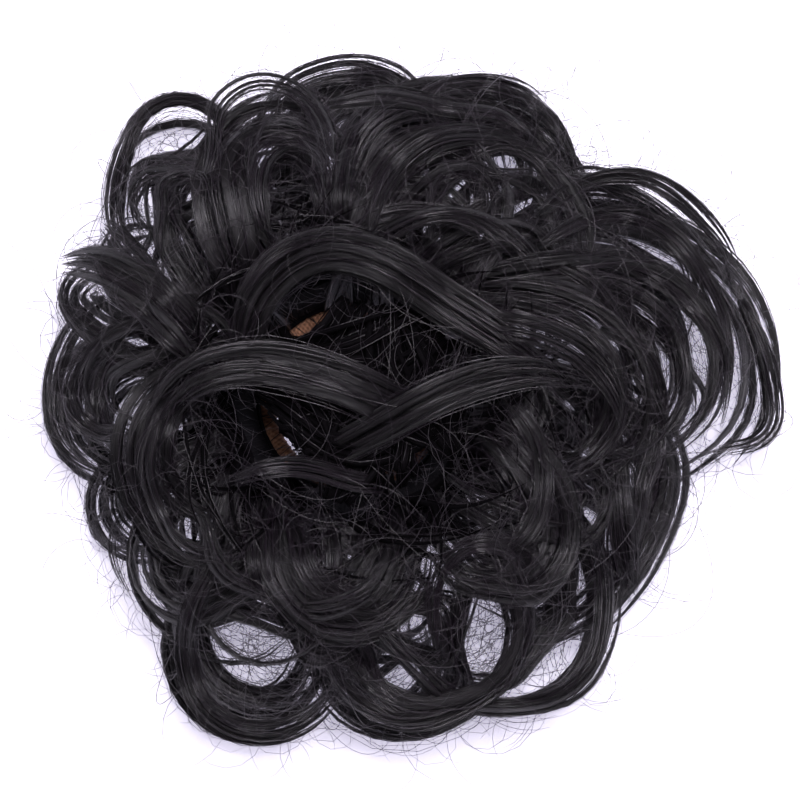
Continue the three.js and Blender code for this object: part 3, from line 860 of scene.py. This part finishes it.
# The dense hair next to the track: a closed lobed backing
def matBacking(row):
    trackRadius, trackHeight = trackOf(row)
    length = matLength(row)
    around = matLook["around"]
    share = np.linspace(0, matLook["backing"], matLook["steps"])
    radius = trackRadius + share * length
    middle = shellAt(row, radius)[0]
    slope = np.gradient(middle, radius)
    normal = unit(np.stack([-slope, np.ones_like(slope)], axis=1))
    solidHalf = form["trackRadius"] * form["seatShare"] * (1 - share) + form["matThickness"] / 2 * share
    half = solidHalf * matLook["backingThickness"]
    outline = np.stack([radius, middle], axis=1)
    profile = np.vstack([outline - normal * half[:, None], (outline + normal * half[:, None])[::-1]])
    angle = np.arange(around) * 2 * np.pi / around
    beyond = np.maximum(0, profile[:, 0] - trackRadius)
    reach = profile[:, 0][None, :] - beyond[None, :] * scallopOf(row, angle)[:, None]
    points = np.stack([
        reach * np.cos(angle)[:, None] + ringCentre[0],
        reach * np.sin(angle)[:, None] + ringCentre[1],
        np.broadcast_to(profile[:, 1][None, :], reach.shape),
    ], axis=-1)
    ring = len(profile)
    index = np.arange(around * ring).reshape(around, ring)
    after = np.roll(index, -1, axis=0)
    faces = np.stack([index, after, np.roll(after, -1, axis=1), np.roll(index, -1, axis=1)], axis=-1)
    mesh = bpy.data.meshes.new(row["name"] + "_backing")
    mesh.from_pydata(points.reshape(-1, 3).tolist(), [], faces.reshape(-1, 4).tolist())
    layer = mesh.uv_layers.new(name="strandMap")
    corner = np.empty(len(mesh.loops), np.int32)
    mesh.loops.foreach_get("vertex_index", corner)
    uv = np.stack([corner // ring / around * matLook["mapTurns"], corner % ring / ring], axis=1)
    layer.uv.foreach_set("vector", uv.astype(np.float32).ravel())
    mesh.polygons.foreach_set("use_smooth", np.ones(len(mesh.polygons), bool))
    backing = bpy.data.objects.new(mesh.name, mesh)
    bpy.context.scene.collection.objects.link(backing)
    return backing


# Flat strips combed from the track over the mat and past its edge, most of them on its upper side
def combedStrips(row):
    rng = randomHair
    trackRadius = trackOf(row)[0]
    count, steps = matLook["strips"], lowLook["steps"]
    bearing = (np.arange(count) + rng.uniform(0, 1, count)) * 2 * np.pi / count
    reachOut = rng.uniform(1, 1 + matLook["beyond"] / row["mat"], count)
    along = np.linspace(0, 1, steps)[None, :] * reachOut[:, None]
    theta = bearing[:, None] + rng.normal(0, matLook["drift"], count)[:, None] * along**1.5
    radius = trackRadius + along * matLength(row)
    onTop = np.where(rng.uniform(0, 1, count) < matLook["onTop"], 1, -1)[:, None]
    half = form["trackRadius"] * (1 - along) + form["matThickness"] / 2 * np.minimum(along, 1)
    lift = onTop * half * rng.uniform(*matLook["lift"], count)[:, None]
    path = np.stack([
        radius * np.cos(theta) + ringCentre[0],
        radius * np.sin(theta) + ringCentre[1],
        shellAt(row, radius)[0] + lift,
    ], axis=-1)
    tangent = unit(np.gradient(path, axis=1))
    across = unit(np.cross([0, 0, 1], tangent))
    roll = rng.normal(0, matLook["roll"], (count, 1, 1))
    up = np.cross(tangent, across)
    taper = np.minimum(1, 0.08 + 1.6 * (1 - np.linspace(0, 1, steps)))[None, :]
    return {
        "path": partAtGaps(path),
        "across": across * np.cos(roll) + up * np.sin(roll),
        "up": up * np.cos(roll) - across * np.sin(roll),
        "halfAcross": rng.uniform(*matLook["width"], (count, 1)) * taper,
        "halfUp": matLook["thickness"] * taper + np.zeros((count, 1)),
    }


# Cubic curves from two ends and the two points that pull them aside
def cubicPaths(starts, one, two, ends, steps):
    t = np.linspace(0, 1, steps)[None, :, None]
    return (
        (1 - t) ** 3 * starts[:, None]
        + 3 * (1 - t) ** 2 * t * one[:, None]
        + 3 * (1 - t) * t**2 * two[:, None]
        + t**3 * ends[:, None]
    )


linkLook = {
    "count": 700,
    "steps": 12,
    "reach": 200 * mm,
    "lowest": 0,
    "nearest": 9 * mm,
    "furthest": 42 * mm,
    "scatter": 1.4 * mm,
    "bulge": 0.28,
}
crownLinkLook = {**linkLook, "count": 60, "reach": 40 * mm, "lowest": 37 * mm}


# Single hairs that bridge from lock to lock
def linkStrands(locks, look):
    rng = randomHair
    points = np.concatenate([lock["path"][6:] for lock in locks])
    inside = np.hypot(points[:, 0] - ringCentre[0], points[:, 1] - ringCentre[1]) < look["reach"]
    points = points[inside & (points[:, 2] > look["lowest"])]
    starts, ends = points[rng.integers(0, len(points), (2, look["count"] * 8))]
    gap = np.linalg.norm(starts - ends, axis=1)
    good = (gap > look["nearest"]) & (gap < look["furthest"])
    starts, ends = starts[good][:look["count"]], ends[good][:look["count"]]
    jitter = rng.normal(0, look["scatter"], (2, len(starts), 3))
    starts, ends = starts + jitter[0], ends + jitter[1]
    way = ends - starts
    length = np.linalg.norm(way, axis=1, keepdims=True)
    side = unit(np.cross(way, [0, 0, 1.0]))
    size = rng.normal(0, look["bulge"], (2, len(starts), 1))
    size[1] = size[0] * rng.uniform(0.3, 1.4, (len(starts), 1))
    lift = rng.uniform(-0.06, 0.16, (2, len(starts), 1))
    one = starts + way * 0.3 + side * size[0] * length + [0, 0, 1] * lift[0] * length
    two = starts + way * 0.7 + side * size[1] * length + [0, 0, 1] * lift[1] * length
    return cubicPaths(starts, one, two, ends, look["steps"])


looseLook = {
    "radius": (0.04 * mm, 0.07 * mm),
    "beyond": 12 * mm,
    "above": 6 * mm,
}


# Paths that stay near the piece
def inBounds(paths):
    side = np.array([cadBox[1][0], cadBox[1][1]]) + looseLook["beyond"]
    inside = (np.abs(paths[..., :2]) < side).all(axis=(1, 2))
    return inside & (paths[..., 2].max(axis=1) < cadBox[1][2] + looseLook["above"])


frizzLook = {
    "count": 4300,
    "steps": 9,
    "length": 16 * mm,
    "scatter": 0.8 * mm,
    "turn": 0.45,
    "bend": 10 * mm,
    "bends": (0.4, 1.9),
}


# Frizz: short fine hairs that leave a strip along its own direction and bend away from it
def frizzStrands(strips, count):
    rng = randomHair
    owner = rng.integers(0, len(strips["path"]), count)
    share = rng.uniform(0.1, 0.95, (count, 1))
    start = sample(strips["path"], owner, share)[:, 0]
    ahead = sample(strips["path"], owner, np.minimum(1, share + 0.05))[:, 0]
    behind = sample(strips["path"], owner, np.maximum(0, share - 0.05))[:, 0]
    heading = unit(ahead - behind) * rng.choice([-1, 1], (count, 1))
    heading = unit(heading + rng.normal(0, frizzLook["turn"], (count, 3)) * [1, 1, 0.45])
    length = frizzLook["length"] * np.minimum(2.2, 0.6 + rng.exponential(0.7, (count, 1)))
    side = unit(np.cross(heading, [0, 0, 1.0]))
    bend = rng.uniform(*frizzLook["bends"], (count, 1)) * rng.choice([-1, 1], (count, 1)) / frizzLook["bend"]
    rise = np.clip(rng.normal(0.08, 0.25, (count, 1)), -0.3, 0.3) / frizzLook["bend"]
    offset = rng.normal(0, frizzLook["scatter"], (count, 3))
    t = np.linspace(0, 1, frizzLook["steps"])[None, :, None] * length[:, None, :]
    turn = t * bend[:, None]
    flat = np.where(np.abs(turn) < 1e-6, 1e-6, turn)
    forward = t * np.sin(flat) / flat
    aside = t * (1 - np.cos(flat)) / flat
    return (
        (start + offset)[:, None]
        + heading[:, None] * forward
        + side[:, None] * aside
        + [0, 0, 1] * (rise[:, None] * t**2 * 0.5)
    )


flyawayLook = {
    "count": 340,
    "steps": 18,
    "innermost": 50 * mm,
    "nearest": 14 * mm,
    "furthest": 48 * mm,
    "push": 0.9,
}


# Long fine hairs that leave the outer curls and come back
def flyawayStrands(locks):
    rng = randomHair
    count = flyawayLook["count"]
    points = np.concatenate([lock["path"][24:] for lock in locks])
    away = points - ringAxis
    away[:, 2] = 0
    outer = points[np.linalg.norm(away, axis=1) > flyawayLook["innermost"]]
    starts, ends = outer[rng.integers(0, len(outer), (2, count * 30))]
    gap = np.linalg.norm(starts - ends, axis=1)
    good = (gap > flyawayLook["nearest"]) & (gap < flyawayLook["furthest"])
    starts, ends = starts[good][:count], ends[good][:count]
    way = ends - starts
    out = unit((starts + ends) / 2 - ringAxis) * [1, 1, 0]
    push = rng.uniform(0.1, 1, (len(starts), 1)) ** 1.5
    size = push * (np.linalg.norm(way, axis=1, keepdims=True) * flyawayLook["push"])
    lift = [0, 0, 0.3] * size * rng.uniform(-0.2, 1, (len(starts), 1))
    one = starts + way * 0.15 + out * size + lift
    two = starts + way * 0.85 + out * size * rng.uniform(0.5, 1.1, (len(starts), 1))
    return cubicPaths(starts, one, two, ends, flyawayLook["steps"])


# Shader maths on sockets
class Wire:
    def __init__(self, tree, socket):
        self.tree = tree
        self.socket = socket

    def node(self, kind, settings, inputs, output=0):
        made = self.tree.nodes.new(kind)
        for name, value in settings.items():
            setattr(made, name, value)
        for key, value in inputs.items():
            if isinstance(value, Wire):
                self.tree.links.new(value.socket, made.inputs[key])
            else:
                made.inputs[key].default_value = value
        return Wire(self.tree, made.outputs[output])

    def math(self, operation, first, second):
        return self.node("ShaderNodeMath", {"operation": operation}, {0: first, 1: second})

    def __add__(self, other):
        return self.math("ADD", self, other)

    def __radd__(self, other):
        return self.math("ADD", other, self)

    def __sub__(self, other):
        return self.math("SUBTRACT", self, other)

    def __rsub__(self, other):
        return self.math("SUBTRACT", other, self)

    def __mul__(self, other):
        return self.math("MULTIPLY", self, other)

    def __rmul__(self, other):
        return self.math("MULTIPLY", other, self)


# A material with its shader's own constant values, ready for links
def newMaterial(name, constants):
    material = bpy.data.materials.new(name)
    material.use_nodes = True
    tree = material.node_tree
    shader = tree.nodes["Principled BSDF"]
    for key, value in constants.items():
        shader.inputs[key].default_value = value
    return material, tree, shader, Wire(tree, None)


def link(tree, shader, name, wire):
    tree.links.new(wire.socket, shader.inputs[name])


hairFinish = {
    "strands": {
        "dark": (0.0025, 0.0017, 0.0026, 1),
        "light": (0.036, 0.0255, 0.037, 1),
        "roughness": (0.2, 0.34),
        "gloss": 0.7,
    },
    "strips": {
        "dark": (0.0008, 0.0006, 0.0008, 1),
        "light": (0.0085, 0.006, 0.009, 1),
        "roughness": (0.22, 0.4),
        "gloss": 0.5,
    },
    "loose": {
        "dark": (0.012, 0.009, 0.0125, 1),
        "light": (0.05, 0.039, 0.052, 1),
        "roughness": (0.3, 0.45),
        "gloss": 0.6,
    },
    # Darkest and matte: the hair at the roots, and on the veils over the hole a dark sheet of painted shade
    "rootsAndShade": {
        "dark": (0.0008, 0.0006, 0.0009, 1),
        "light": (0.004, 0.003, 0.0042, 1),
        "roughness": (0.5, 0.7),
        "gloss": 0.05,
    },
}
streakFinish = {
    "along": 2.5,
    "tones": (0.3, 0.72),
    "own": 0.75,  # how much a strip's tone is its own
    "grooves": 0.3 * mm,
    "whole": 0.4,  # more of it, and the strips' edges break up less
    "frayed": 0.4,
    "frayedFrom": 0.6,
    "cover": (0.5, 0.56),
}


# Hair in streaks along its own map. Flat strips are grooved, and lacy ones break up into single hairs at
# their edges and towards their tips.
def hairMaterial(name, finish, streaks, flat=False, lacy=False):
    material, tree, shader, start = newMaterial(name, {"IOR": 1.5, "Specular IOR Level": finish["gloss"]})
    mapped = start.node("ShaderNodeUVMap", {"uv_map": "strandMap"}, {})
    u = start.node("ShaderNodeSeparateXYZ", {}, {0: mapped}, 0)
    v = start.node("ShaderNodeSeparateXYZ", {}, {0: mapped}, 1)
    across = u * streaks
    if flat:
        strip = start.math("FLOOR", u, 0.0)
        across = start.math("PINGPONG", u, 0.5) * (2 * streaks) + strip * 7.3  # the same on both sides
    place = start.node("ShaderNodeCombineXYZ", {}, {0: across, 1: v * streakFinish["along"], 2: 0.0})
    streak = start.node(
        "ShaderNodeTexNoise", {"noise_dimensions": "2D"}, {"Vector": place, "Scale": 1.0, "Detail": 2.0}
    )
    low, high = streakFinish["tones"]
    tone = start.node("ShaderNodeMapRange", {}, {0: streak, 1: low, 2: high, 3: 0.0, 4: 1.0})
    if flat:
        own = start.node("ShaderNodeTexWhiteNoise", {"noise_dimensions": "1D"}, {"W": strip})
        tone = tone * (own * streakFinish["own"] + (1 - streakFinish["own"]))
    colour = start.node(
        "ShaderNodeMix", {"data_type": "RGBA"}, {0: tone, 6: finish["dark"], 7: finish["light"]}, 2
    )
    link(tree, shader, "Base Color", colour)
    low, high = finish["roughness"]
    link(tree, shader, "Roughness", high - tone * (high - low))
    if flat:
        raised = start.node(
            "ShaderNodeBump", {}, {"Strength": 1.0, "Distance": streakFinish["grooves"], "Height": streak}
        )
        link(tree, shader, "Normal", raised)
    if lacy:
        middle = start.math("PINGPONG", u, 0.25) * (4 * streakFinish["whole"])
        tip = start.math("MAXIMUM", v - streakFinish["frayedFrom"], 0.0) * streakFinish["frayed"]
        low, high = streakFinish["cover"]
        cover = start.node(
            "ShaderNodeMapRange", {}, {0: streak + middle - tip, 1: low, 2: high, 3: 0.0, 4: 1.0}
        )
        link(tree, shader, "Alpha", cover)
    return material


elasticFinish = {
    "shade": (0.1, 0.042, 0.024, 1),
    "thread": (0.55, 0.28, 0.16, 1),
    "ribs": 150,
    "plaits": 9,
    "relief": 0.25 * mm,
}


def elasticMaterial():
    material, tree, shader, start = newMaterial(
        "woven cover", {"Sheen Weight": 0.25, "Specular IOR Level": 0.25}
    )
    mapped = start.node("ShaderNodeUVMap", {"uv_map": "UVMap"}, {})
    u = start.node("ShaderNodeSeparateXYZ", {}, {0: mapped}, 0)
    v = start.node("ShaderNodeSeparateXYZ", {}, {0: mapped}, 1)
    along, around = u * elasticFinish["ribs"], v * elasticFinish["plaits"]
    place = start.node("ShaderNodeCombineXYZ", {}, {0: along, 1: around, 2: 0.0})
    wear = start.node("ShaderNodeTexNoise", {}, {"Vector": place, "Scale": 0.7, "Detail": 3.0})
    lean = start.math("SINE", (along + v * 2.0) * math.tau, 0.0)
    cross = start.math("SINE", (along * 0.5 - around) * math.tau, 0.0)
    weave = lean * 0.25 + cross * 0.2 + 0.5
    colour = start.node(
        "ShaderNodeMix", {"data_type": "RGBA"},
        {0: weave * 0.6 + wear * 0.4, 6: elasticFinish["shade"], 7: elasticFinish["thread"]}, 2,
    )
    link(tree, shader, "Base Color", colour)
    link(tree, shader, "Roughness", wear * 0.2 + 0.7)
    raised = start.node(
        "ShaderNodeBump", {}, {"Strength": 0.8, "Distance": elasticFinish["relief"], "Height": weave}
    )
    link(tree, shader, "Normal", raised)
    return material


threadFinish = {"shade": (0.004, 0.004, 0.005, 1), "fibre": (0.03, 0.026, 0.026, 1)}


def threadMaterial():
    material, tree, shader, start = newMaterial("sewing thread", {"Roughness": 0.6})
    place = start.node("ShaderNodeTexCoord", {}, {}, 3)
    grain = start.node("ShaderNodeTexNoise", {}, {"Vector": place, "Scale": 900.0})
    colour = start.node(
        "ShaderNodeMix", {"data_type": "RGBA"},
        {0: grain, 6: threadFinish["shade"], 7: threadFinish["fibre"]}, 2,
    )
    link(tree, shader, "Base Color", colour)
    return material


surfaceFinish = {
    "dark": (0.93, 0.93, 0.955, 1),
    "light": (0.95, 0.95, 0.97, 1),
    "glow": (0.82, 0.78, 1, 1),
    "glowStrength": 0.6,
}


def surfaceMaterial():
    material, tree, shader, start = newMaterial("white surface", {
        "Specular IOR Level": 0.1,
        "Emission Color": surfaceFinish["glow"],
        "Emission Strength": surfaceFinish["glowStrength"],
    })
    place = start.node("ShaderNodeTexCoord", {}, {}, 3)
    cloud = start.node("ShaderNodeTexNoise", {}, {"Vector": place, "Scale": 3.0})
    colour = start.node(
        "ShaderNodeMix", {"data_type": "RGBA"},
        {0: cloud, 6: surfaceFinish["dark"], 7: surfaceFinish["light"]}, 2,
    )
    link(tree, shader, "Base Color", colour)
    link(tree, shader, "Roughness", cloud * 0.1 + 0.7)
    return material


def dress(piece, material):
    piece.data.materials.clear()
    piece.data.materials.append(material)
    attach(piece, "root")


coverLook = {"steps": 300, "sides": 16, "rib": 0.12 * mm, "ribs": 75}


# The elastic's cover: a torus with raised ribs
def elasticCover():
    bpy.ops.object.select_all(action="DESELECT")
    bpy.ops.mesh.primitive_torus_add(
        location=ringCentre,
        major_segments=coverLook["steps"],
        minor_segments=coverLook["sides"],
        major_radius=ringRadius,
        minor_radius=elasticRadius - coverLook["rib"],
        generate_uvs=True,
    )
    cover = bpy.context.object
    cover.name = "elastic_cover"
    for vertex in cover.data.vertices:
        angle = math.atan2(vertex.co.y, vertex.co.x)
        flat = math.hypot(vertex.co.x, vertex.co.y)
        spine = np.array([math.cos(angle), math.sin(angle), 0]) * ringRadius
        out = unit(np.array(vertex.co) - spine)
        turn = math.atan2(vertex.co.z, flat - ringRadius)
        rise = math.sin(angle * coverLook["ribs"] + turn * 2) * coverLook["rib"]
        vertex.co = [co + rise * direction for co, direction in zip(vertex.co, out)]
    bpy.ops.object.transform_apply(location=True)
    bpy.ops.object.shade_smooth()
    return cover


stitchLook = {"count": 54, "steps": 14, "thread": 0.11 * mm, "wraps": (200, -60)}


# Thread wound over the elastic
def stitchLoops():
    rng = randomHair
    count, steps = stitchLook["count"], stitchLook["steps"]
    bearing = np.arange(count) * 2 * np.pi / count + rng.normal(0, 0.03, count)
    turn = np.linspace(*np.radians(stitchLook["wraps"]), steps)[None, :]
    lean = rng.normal(0.03, 0.05, count)[:, None] * np.linspace(-1, 1, steps)[None, :]
    theta = bearing[:, None] + lean
    radius = ringRadius + np.cos(turn) * (elasticRadius + stitchLook["thread"])
    height = ringCentre[2] + np.sin(turn) * (elasticRadius + stitchLook["thread"])
    paths = np.stack([
        radius * np.cos(theta) + ringCentre[0],
        radius * np.sin(theta) + ringCentre[1],
        np.broadcast_to(height, theta.shape),
    ], axis=-1)
    return strandMesh("stitches", paths, np.full(count, stitchLook["thread"]), rng.uniform(0, 1, count))


trackLook = {"steps": 120, "sides": 10, "thickness": 0.92}


# The track that a row's hair is sewn to
def sewnTrack(row):
    radius, height = trackOf(row)
    bpy.ops.object.select_all(action="DESELECT")
    bpy.ops.mesh.primitive_torus_add(
        location=(ringCentre[0], ringCentre[1], height),
        major_segments=trackLook["steps"],
        minor_segments=trackLook["sides"],
        major_radius=radius,
        minor_radius=form["trackRadius"] * trackLook["thickness"],
    )
    track = bpy.context.object
    track.name = row["name"] + "_track"
    bpy.ops.object.transform_apply(location=True)
    bpy.ops.object.shade_smooth()
    return track


hairOnLocks = hairMaterial("hair strands", hairFinish["strands"], 60.0)
hairCores = hairMaterial("hair strips", hairFinish["strips"], 20.0, flat=True, lacy=True)
looseHair = hairMaterial("loose hair", hairFinish["loose"], 60.0)
hairRoots = hairMaterial("hair roots", hairFinish["rootsAndShade"], 18.0, flat=True)
# Dark matte combed hair; on the veils over the hole the same material is painted shade as well as hair
hairCombedAndShade = hairMaterial("combed hair and painted shade", hairFinish["rootsAndShade"], 8.0, flat=True, lacy=True)


def addStrips(name, strips, material=hairCores):
    dress(stripMesh(name, strips), material)


def addHair(name, paths, radius=strandLook["radius"], material=hairOnLocks):
    piece = hairMesh(name, paths, radius)
    dress(piece, material)
    return piece


fillLook = {
    "each": 13,
    "swing": (12, 26),
    "reach": (0.46, 0.8),
    "loop": (0.6, 1.1),
    "lead": 80,
    "wrap": (90, 220),
    "shrink": 0.2,
    "width": (0.6, 1.0),
    "strips": 8,
    "onStrip": 2,
}


# Shorter curls between the rows, which fill them out and hide the surface below
def fillCurls(index):
    rng = randomHair
    row, below = rows[index], rows[index - 1] if index > 0 else None
    locks = []
    for i in range(fillLook["each"]):
        root = 360 * (i + rng.uniform(0.1, 0.9)) / fillLook["each"]
        hand = rng.choice([-1, 1])
        curl = (
            root, root + hand * rng.uniform(*fillLook["swing"]), rng.uniform(*fillLook["reach"]),
            rng.uniform(*fillLook["loop"]), fillLook["lead"], rng.uniform(*fillLook["wrap"]),
            fillLook["shrink"], 0, rng.uniform(*fillLook["width"]), rng.uniform(-1, 1),
        )
        locks.append(curlLock(row, curl, i, below))
    return locks


allLocks = []
allStrips = []
for index, row in enumerate(rows):
    name = row["name"]
    locks = [curlLock(row, curl, i) for i, curl in enumerate(row["curls"])]
    strips = gather([stripsOf(lock, round(stripLook["inFullLock"] * lock["width"])) for lock in locks])
    onLocks = strandsOn(strips, strandLook["onStrip"], strandLook["frizz"], strandLook["steps"])
    hair = addHair(name + "_hair", onLocks)
    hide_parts(name + "_row")
    addStrips(name + "_strips", strips)
    dress(matBacking(row), hairRoots)
    combed = combedStrips(row)
    if row is rows[-1]:
        combed = clearStrips(combed, windowCore["combed"])
    addStrips(name + "_mat_strips", combed, hairCombedAndShade)
    onMat = strandsOn(combed, matLook["onStrip"], crownLook["frizz"], matLook["hairSteps"])
    addHair(name + "_mat_hair", onMat)
    dress(sewnTrack(row), hairRoots)
    fillStrips = gather([stripsOf(lock, fillLook["strips"], shortLook) for lock in fillCurls(index)])
    addStrips(name + "_fill_strips", fillStrips)
    onFill = strandsOn(fillStrips, fillLook["onStrip"], strandLook["frizz"], strandLook["steps"])
    addHair(name + "_fill_hair", onFill)
    allLocks += locks
    allStrips += [fillStrips, strips] + [strips] * index  # the upper rows have more frizz
    print(name, "row made")

for name, low, high in (("low", 0, 1.2), ("high", 1.2, 3)):
    strips = gather([
        stripsOf(outerLock(layer, width, table), round(outerLook["strips"] * count), bluntLook)
        for layer, width, count, table in outerLocks if low <= layer < high
    ])
    onOuter = strandsOn(strips, outerLook["onStrip"], strandLook["frizz"], outerLook["hairSteps"])
    addHair(name + "_outer_hair", onOuter)
    addStrips(name + "_outer_strips", strips)
    allStrips.append(strips)
print("outer locks made")

overStrips = gather([
    stripsOf(outerLock(layer, width, table, True), round(outerLook["overStrips"] * count))
    for layer, width, count, table in overLocks
])
onOver = strandsOn(overStrips, outerLook["onOver"], strandLook["frizz"], outerLook["hairSteps"])
addHair("over_hair", onOver)
addStrips("over_strips", overStrips)
allStrips.append(overStrips)
print("thin locks made")

crownLocks = [crossingLock(width, table) for width, table in crossings]
crownStrips = gather([stripsOf(lock, round(crownLook["strips"] * lock["width"])) for lock in crownLocks])
onCrown = strandsOn(crownStrips, crownLook["onStrip"], crownLook["frizz"], crownLook["hairSteps"])
addHair("crown_hair", onCrown)
addStrips("crown_strips", crownStrips)
veilStrips = gather([stripsOf(lock, veilLook["strips"], lowLook) for lock in veilLocks()])
veilStrips = clearStrips(veilStrips, windowCore["veil"])
# The veil strips are dark matte hair: painted shade over the hole as well as hair
addStrips("veil_strips", veilStrips, hairCombedAndShade)
onVeil = strandsOn(veilStrips, veilLook["onStrip"], crownLook["frizz"], veilLook["hairSteps"])
addHair("veil_hair", onVeil, looseLook["radius"])
allStrips.append(crownStrips)
print("crown made")

topLocks = allLocks[-len(rows[-1]["curls"]):] + crownLocks
links = np.concatenate([
    linkStrands(allLocks + crownLocks, linkLook),
    linkStrands(topLocks, crownLinkLook),
])
links = links[clearOf(windows, windowCore["links"], links)]
addHair("loose_hair", links, looseLook["radius"])
everyStrip = sum(len(part["path"]) for part in allStrips)
frizz = np.concatenate([
    frizzStrands(part, round(frizzLook["count"] * len(part["path"]) / everyStrip)) for part in allStrips
])
frizz = frizz[clearOf(windows, windowCore["frizz"], frizz) & inBounds(frizz)]
addHair("frizzy_hair", frizz[::2], looseLook["radius"], looseHair)
addHair("curved_hair", frizz[1::2], looseLook["radius"], looseHair)
flying = flyawayStrands(allLocks)
addHair("flyaway_hair", flying[inBounds(flying)], strandLook["radius"], looseHair)
print("loose hair made")

cover = elasticCover()
dress(cover, elasticMaterial())
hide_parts("elastic_ring")
dress(stitchLoops(), threadMaterial())
print("elastic made")

# Surface, light and camera
bpy.ops.object.select_all(action="DESELECT")
bpy.ops.mesh.primitive_plane_add(size=6, location=(0, 0, 0))
surface = bpy.context.object
surface.name = "surface"
surface.data.materials.append(surfaceMaterial())

lamps = {
    "overhead": {"place": (0.12, 0.3, 1.15), "size": 0.45, "power": 15},
    "left": {"place": (-0.9, 0.1, 0.6), "size": 0.7, "power": 3.2},
    "right": {"place": (0.9, 0.0, 0.6), "size": 0.7, "power": 2.8},
}
lampTint = (0.96, 0.91, 1)
studio = {"colour": (0.94, 0.86, 1, 1), "strength": 0.14}


def addLamps():
    for name, lamp in lamps.items():
        light = bpy.data.lights.new(name, "AREA")
        light.size = lamp["size"]
        light.energy = lamp["power"]
        light.color = lampTint
        holder = bpy.data.objects.new(name, light)
        bpy.context.scene.collection.objects.link(holder)
        place = np.array(lamp["place"])
        holder.location = place
        toward = unit(np.array([0, 0, 0.02]) - place)
        pitch = math.acos(-toward[2])
        heading = math.atan2(toward[1], toward[0])
        holder.rotation_euler = (0, -pitch, heading)
    world = bpy.data.worlds.new("studio")
    world.use_nodes = True
    background = world.node_tree.nodes["Background"]
    background.inputs["Color"].default_value = studio["colour"]
    background.inputs["Strength"].default_value = studio["strength"]
    bpy.context.scene.world = world


def addCamera():
    camera = bpy.data.cameras.new("camera")
    camera.lens = view["lens"]
    camera.sensor_width = view["sensor"]
    camera.clip_start = 0.01
    holder = bpy.data.objects.new("camera", camera)
    bpy.context.scene.collection.objects.link(holder)
    holder.location = viewAim + viewDistance * viewBack
    holder.rotation_euler = (viewLean, 0, 0)
    bpy.context.scene.camera = holder


addLamps()
addCamera()
bpy.context.scene.view_settings.view_transform = "Standard"
bpy.context.view_layer.update()

total = 0
for piece in bpy.context.scene.objects:
    if piece.type == "MESH" and not piece.hide_render:
        faces = sum(len(polygon.vertices) - 2 for polygon in piece.data.polygons)
        total += faces
        print(piece.name, faces)
print("triangles", total)
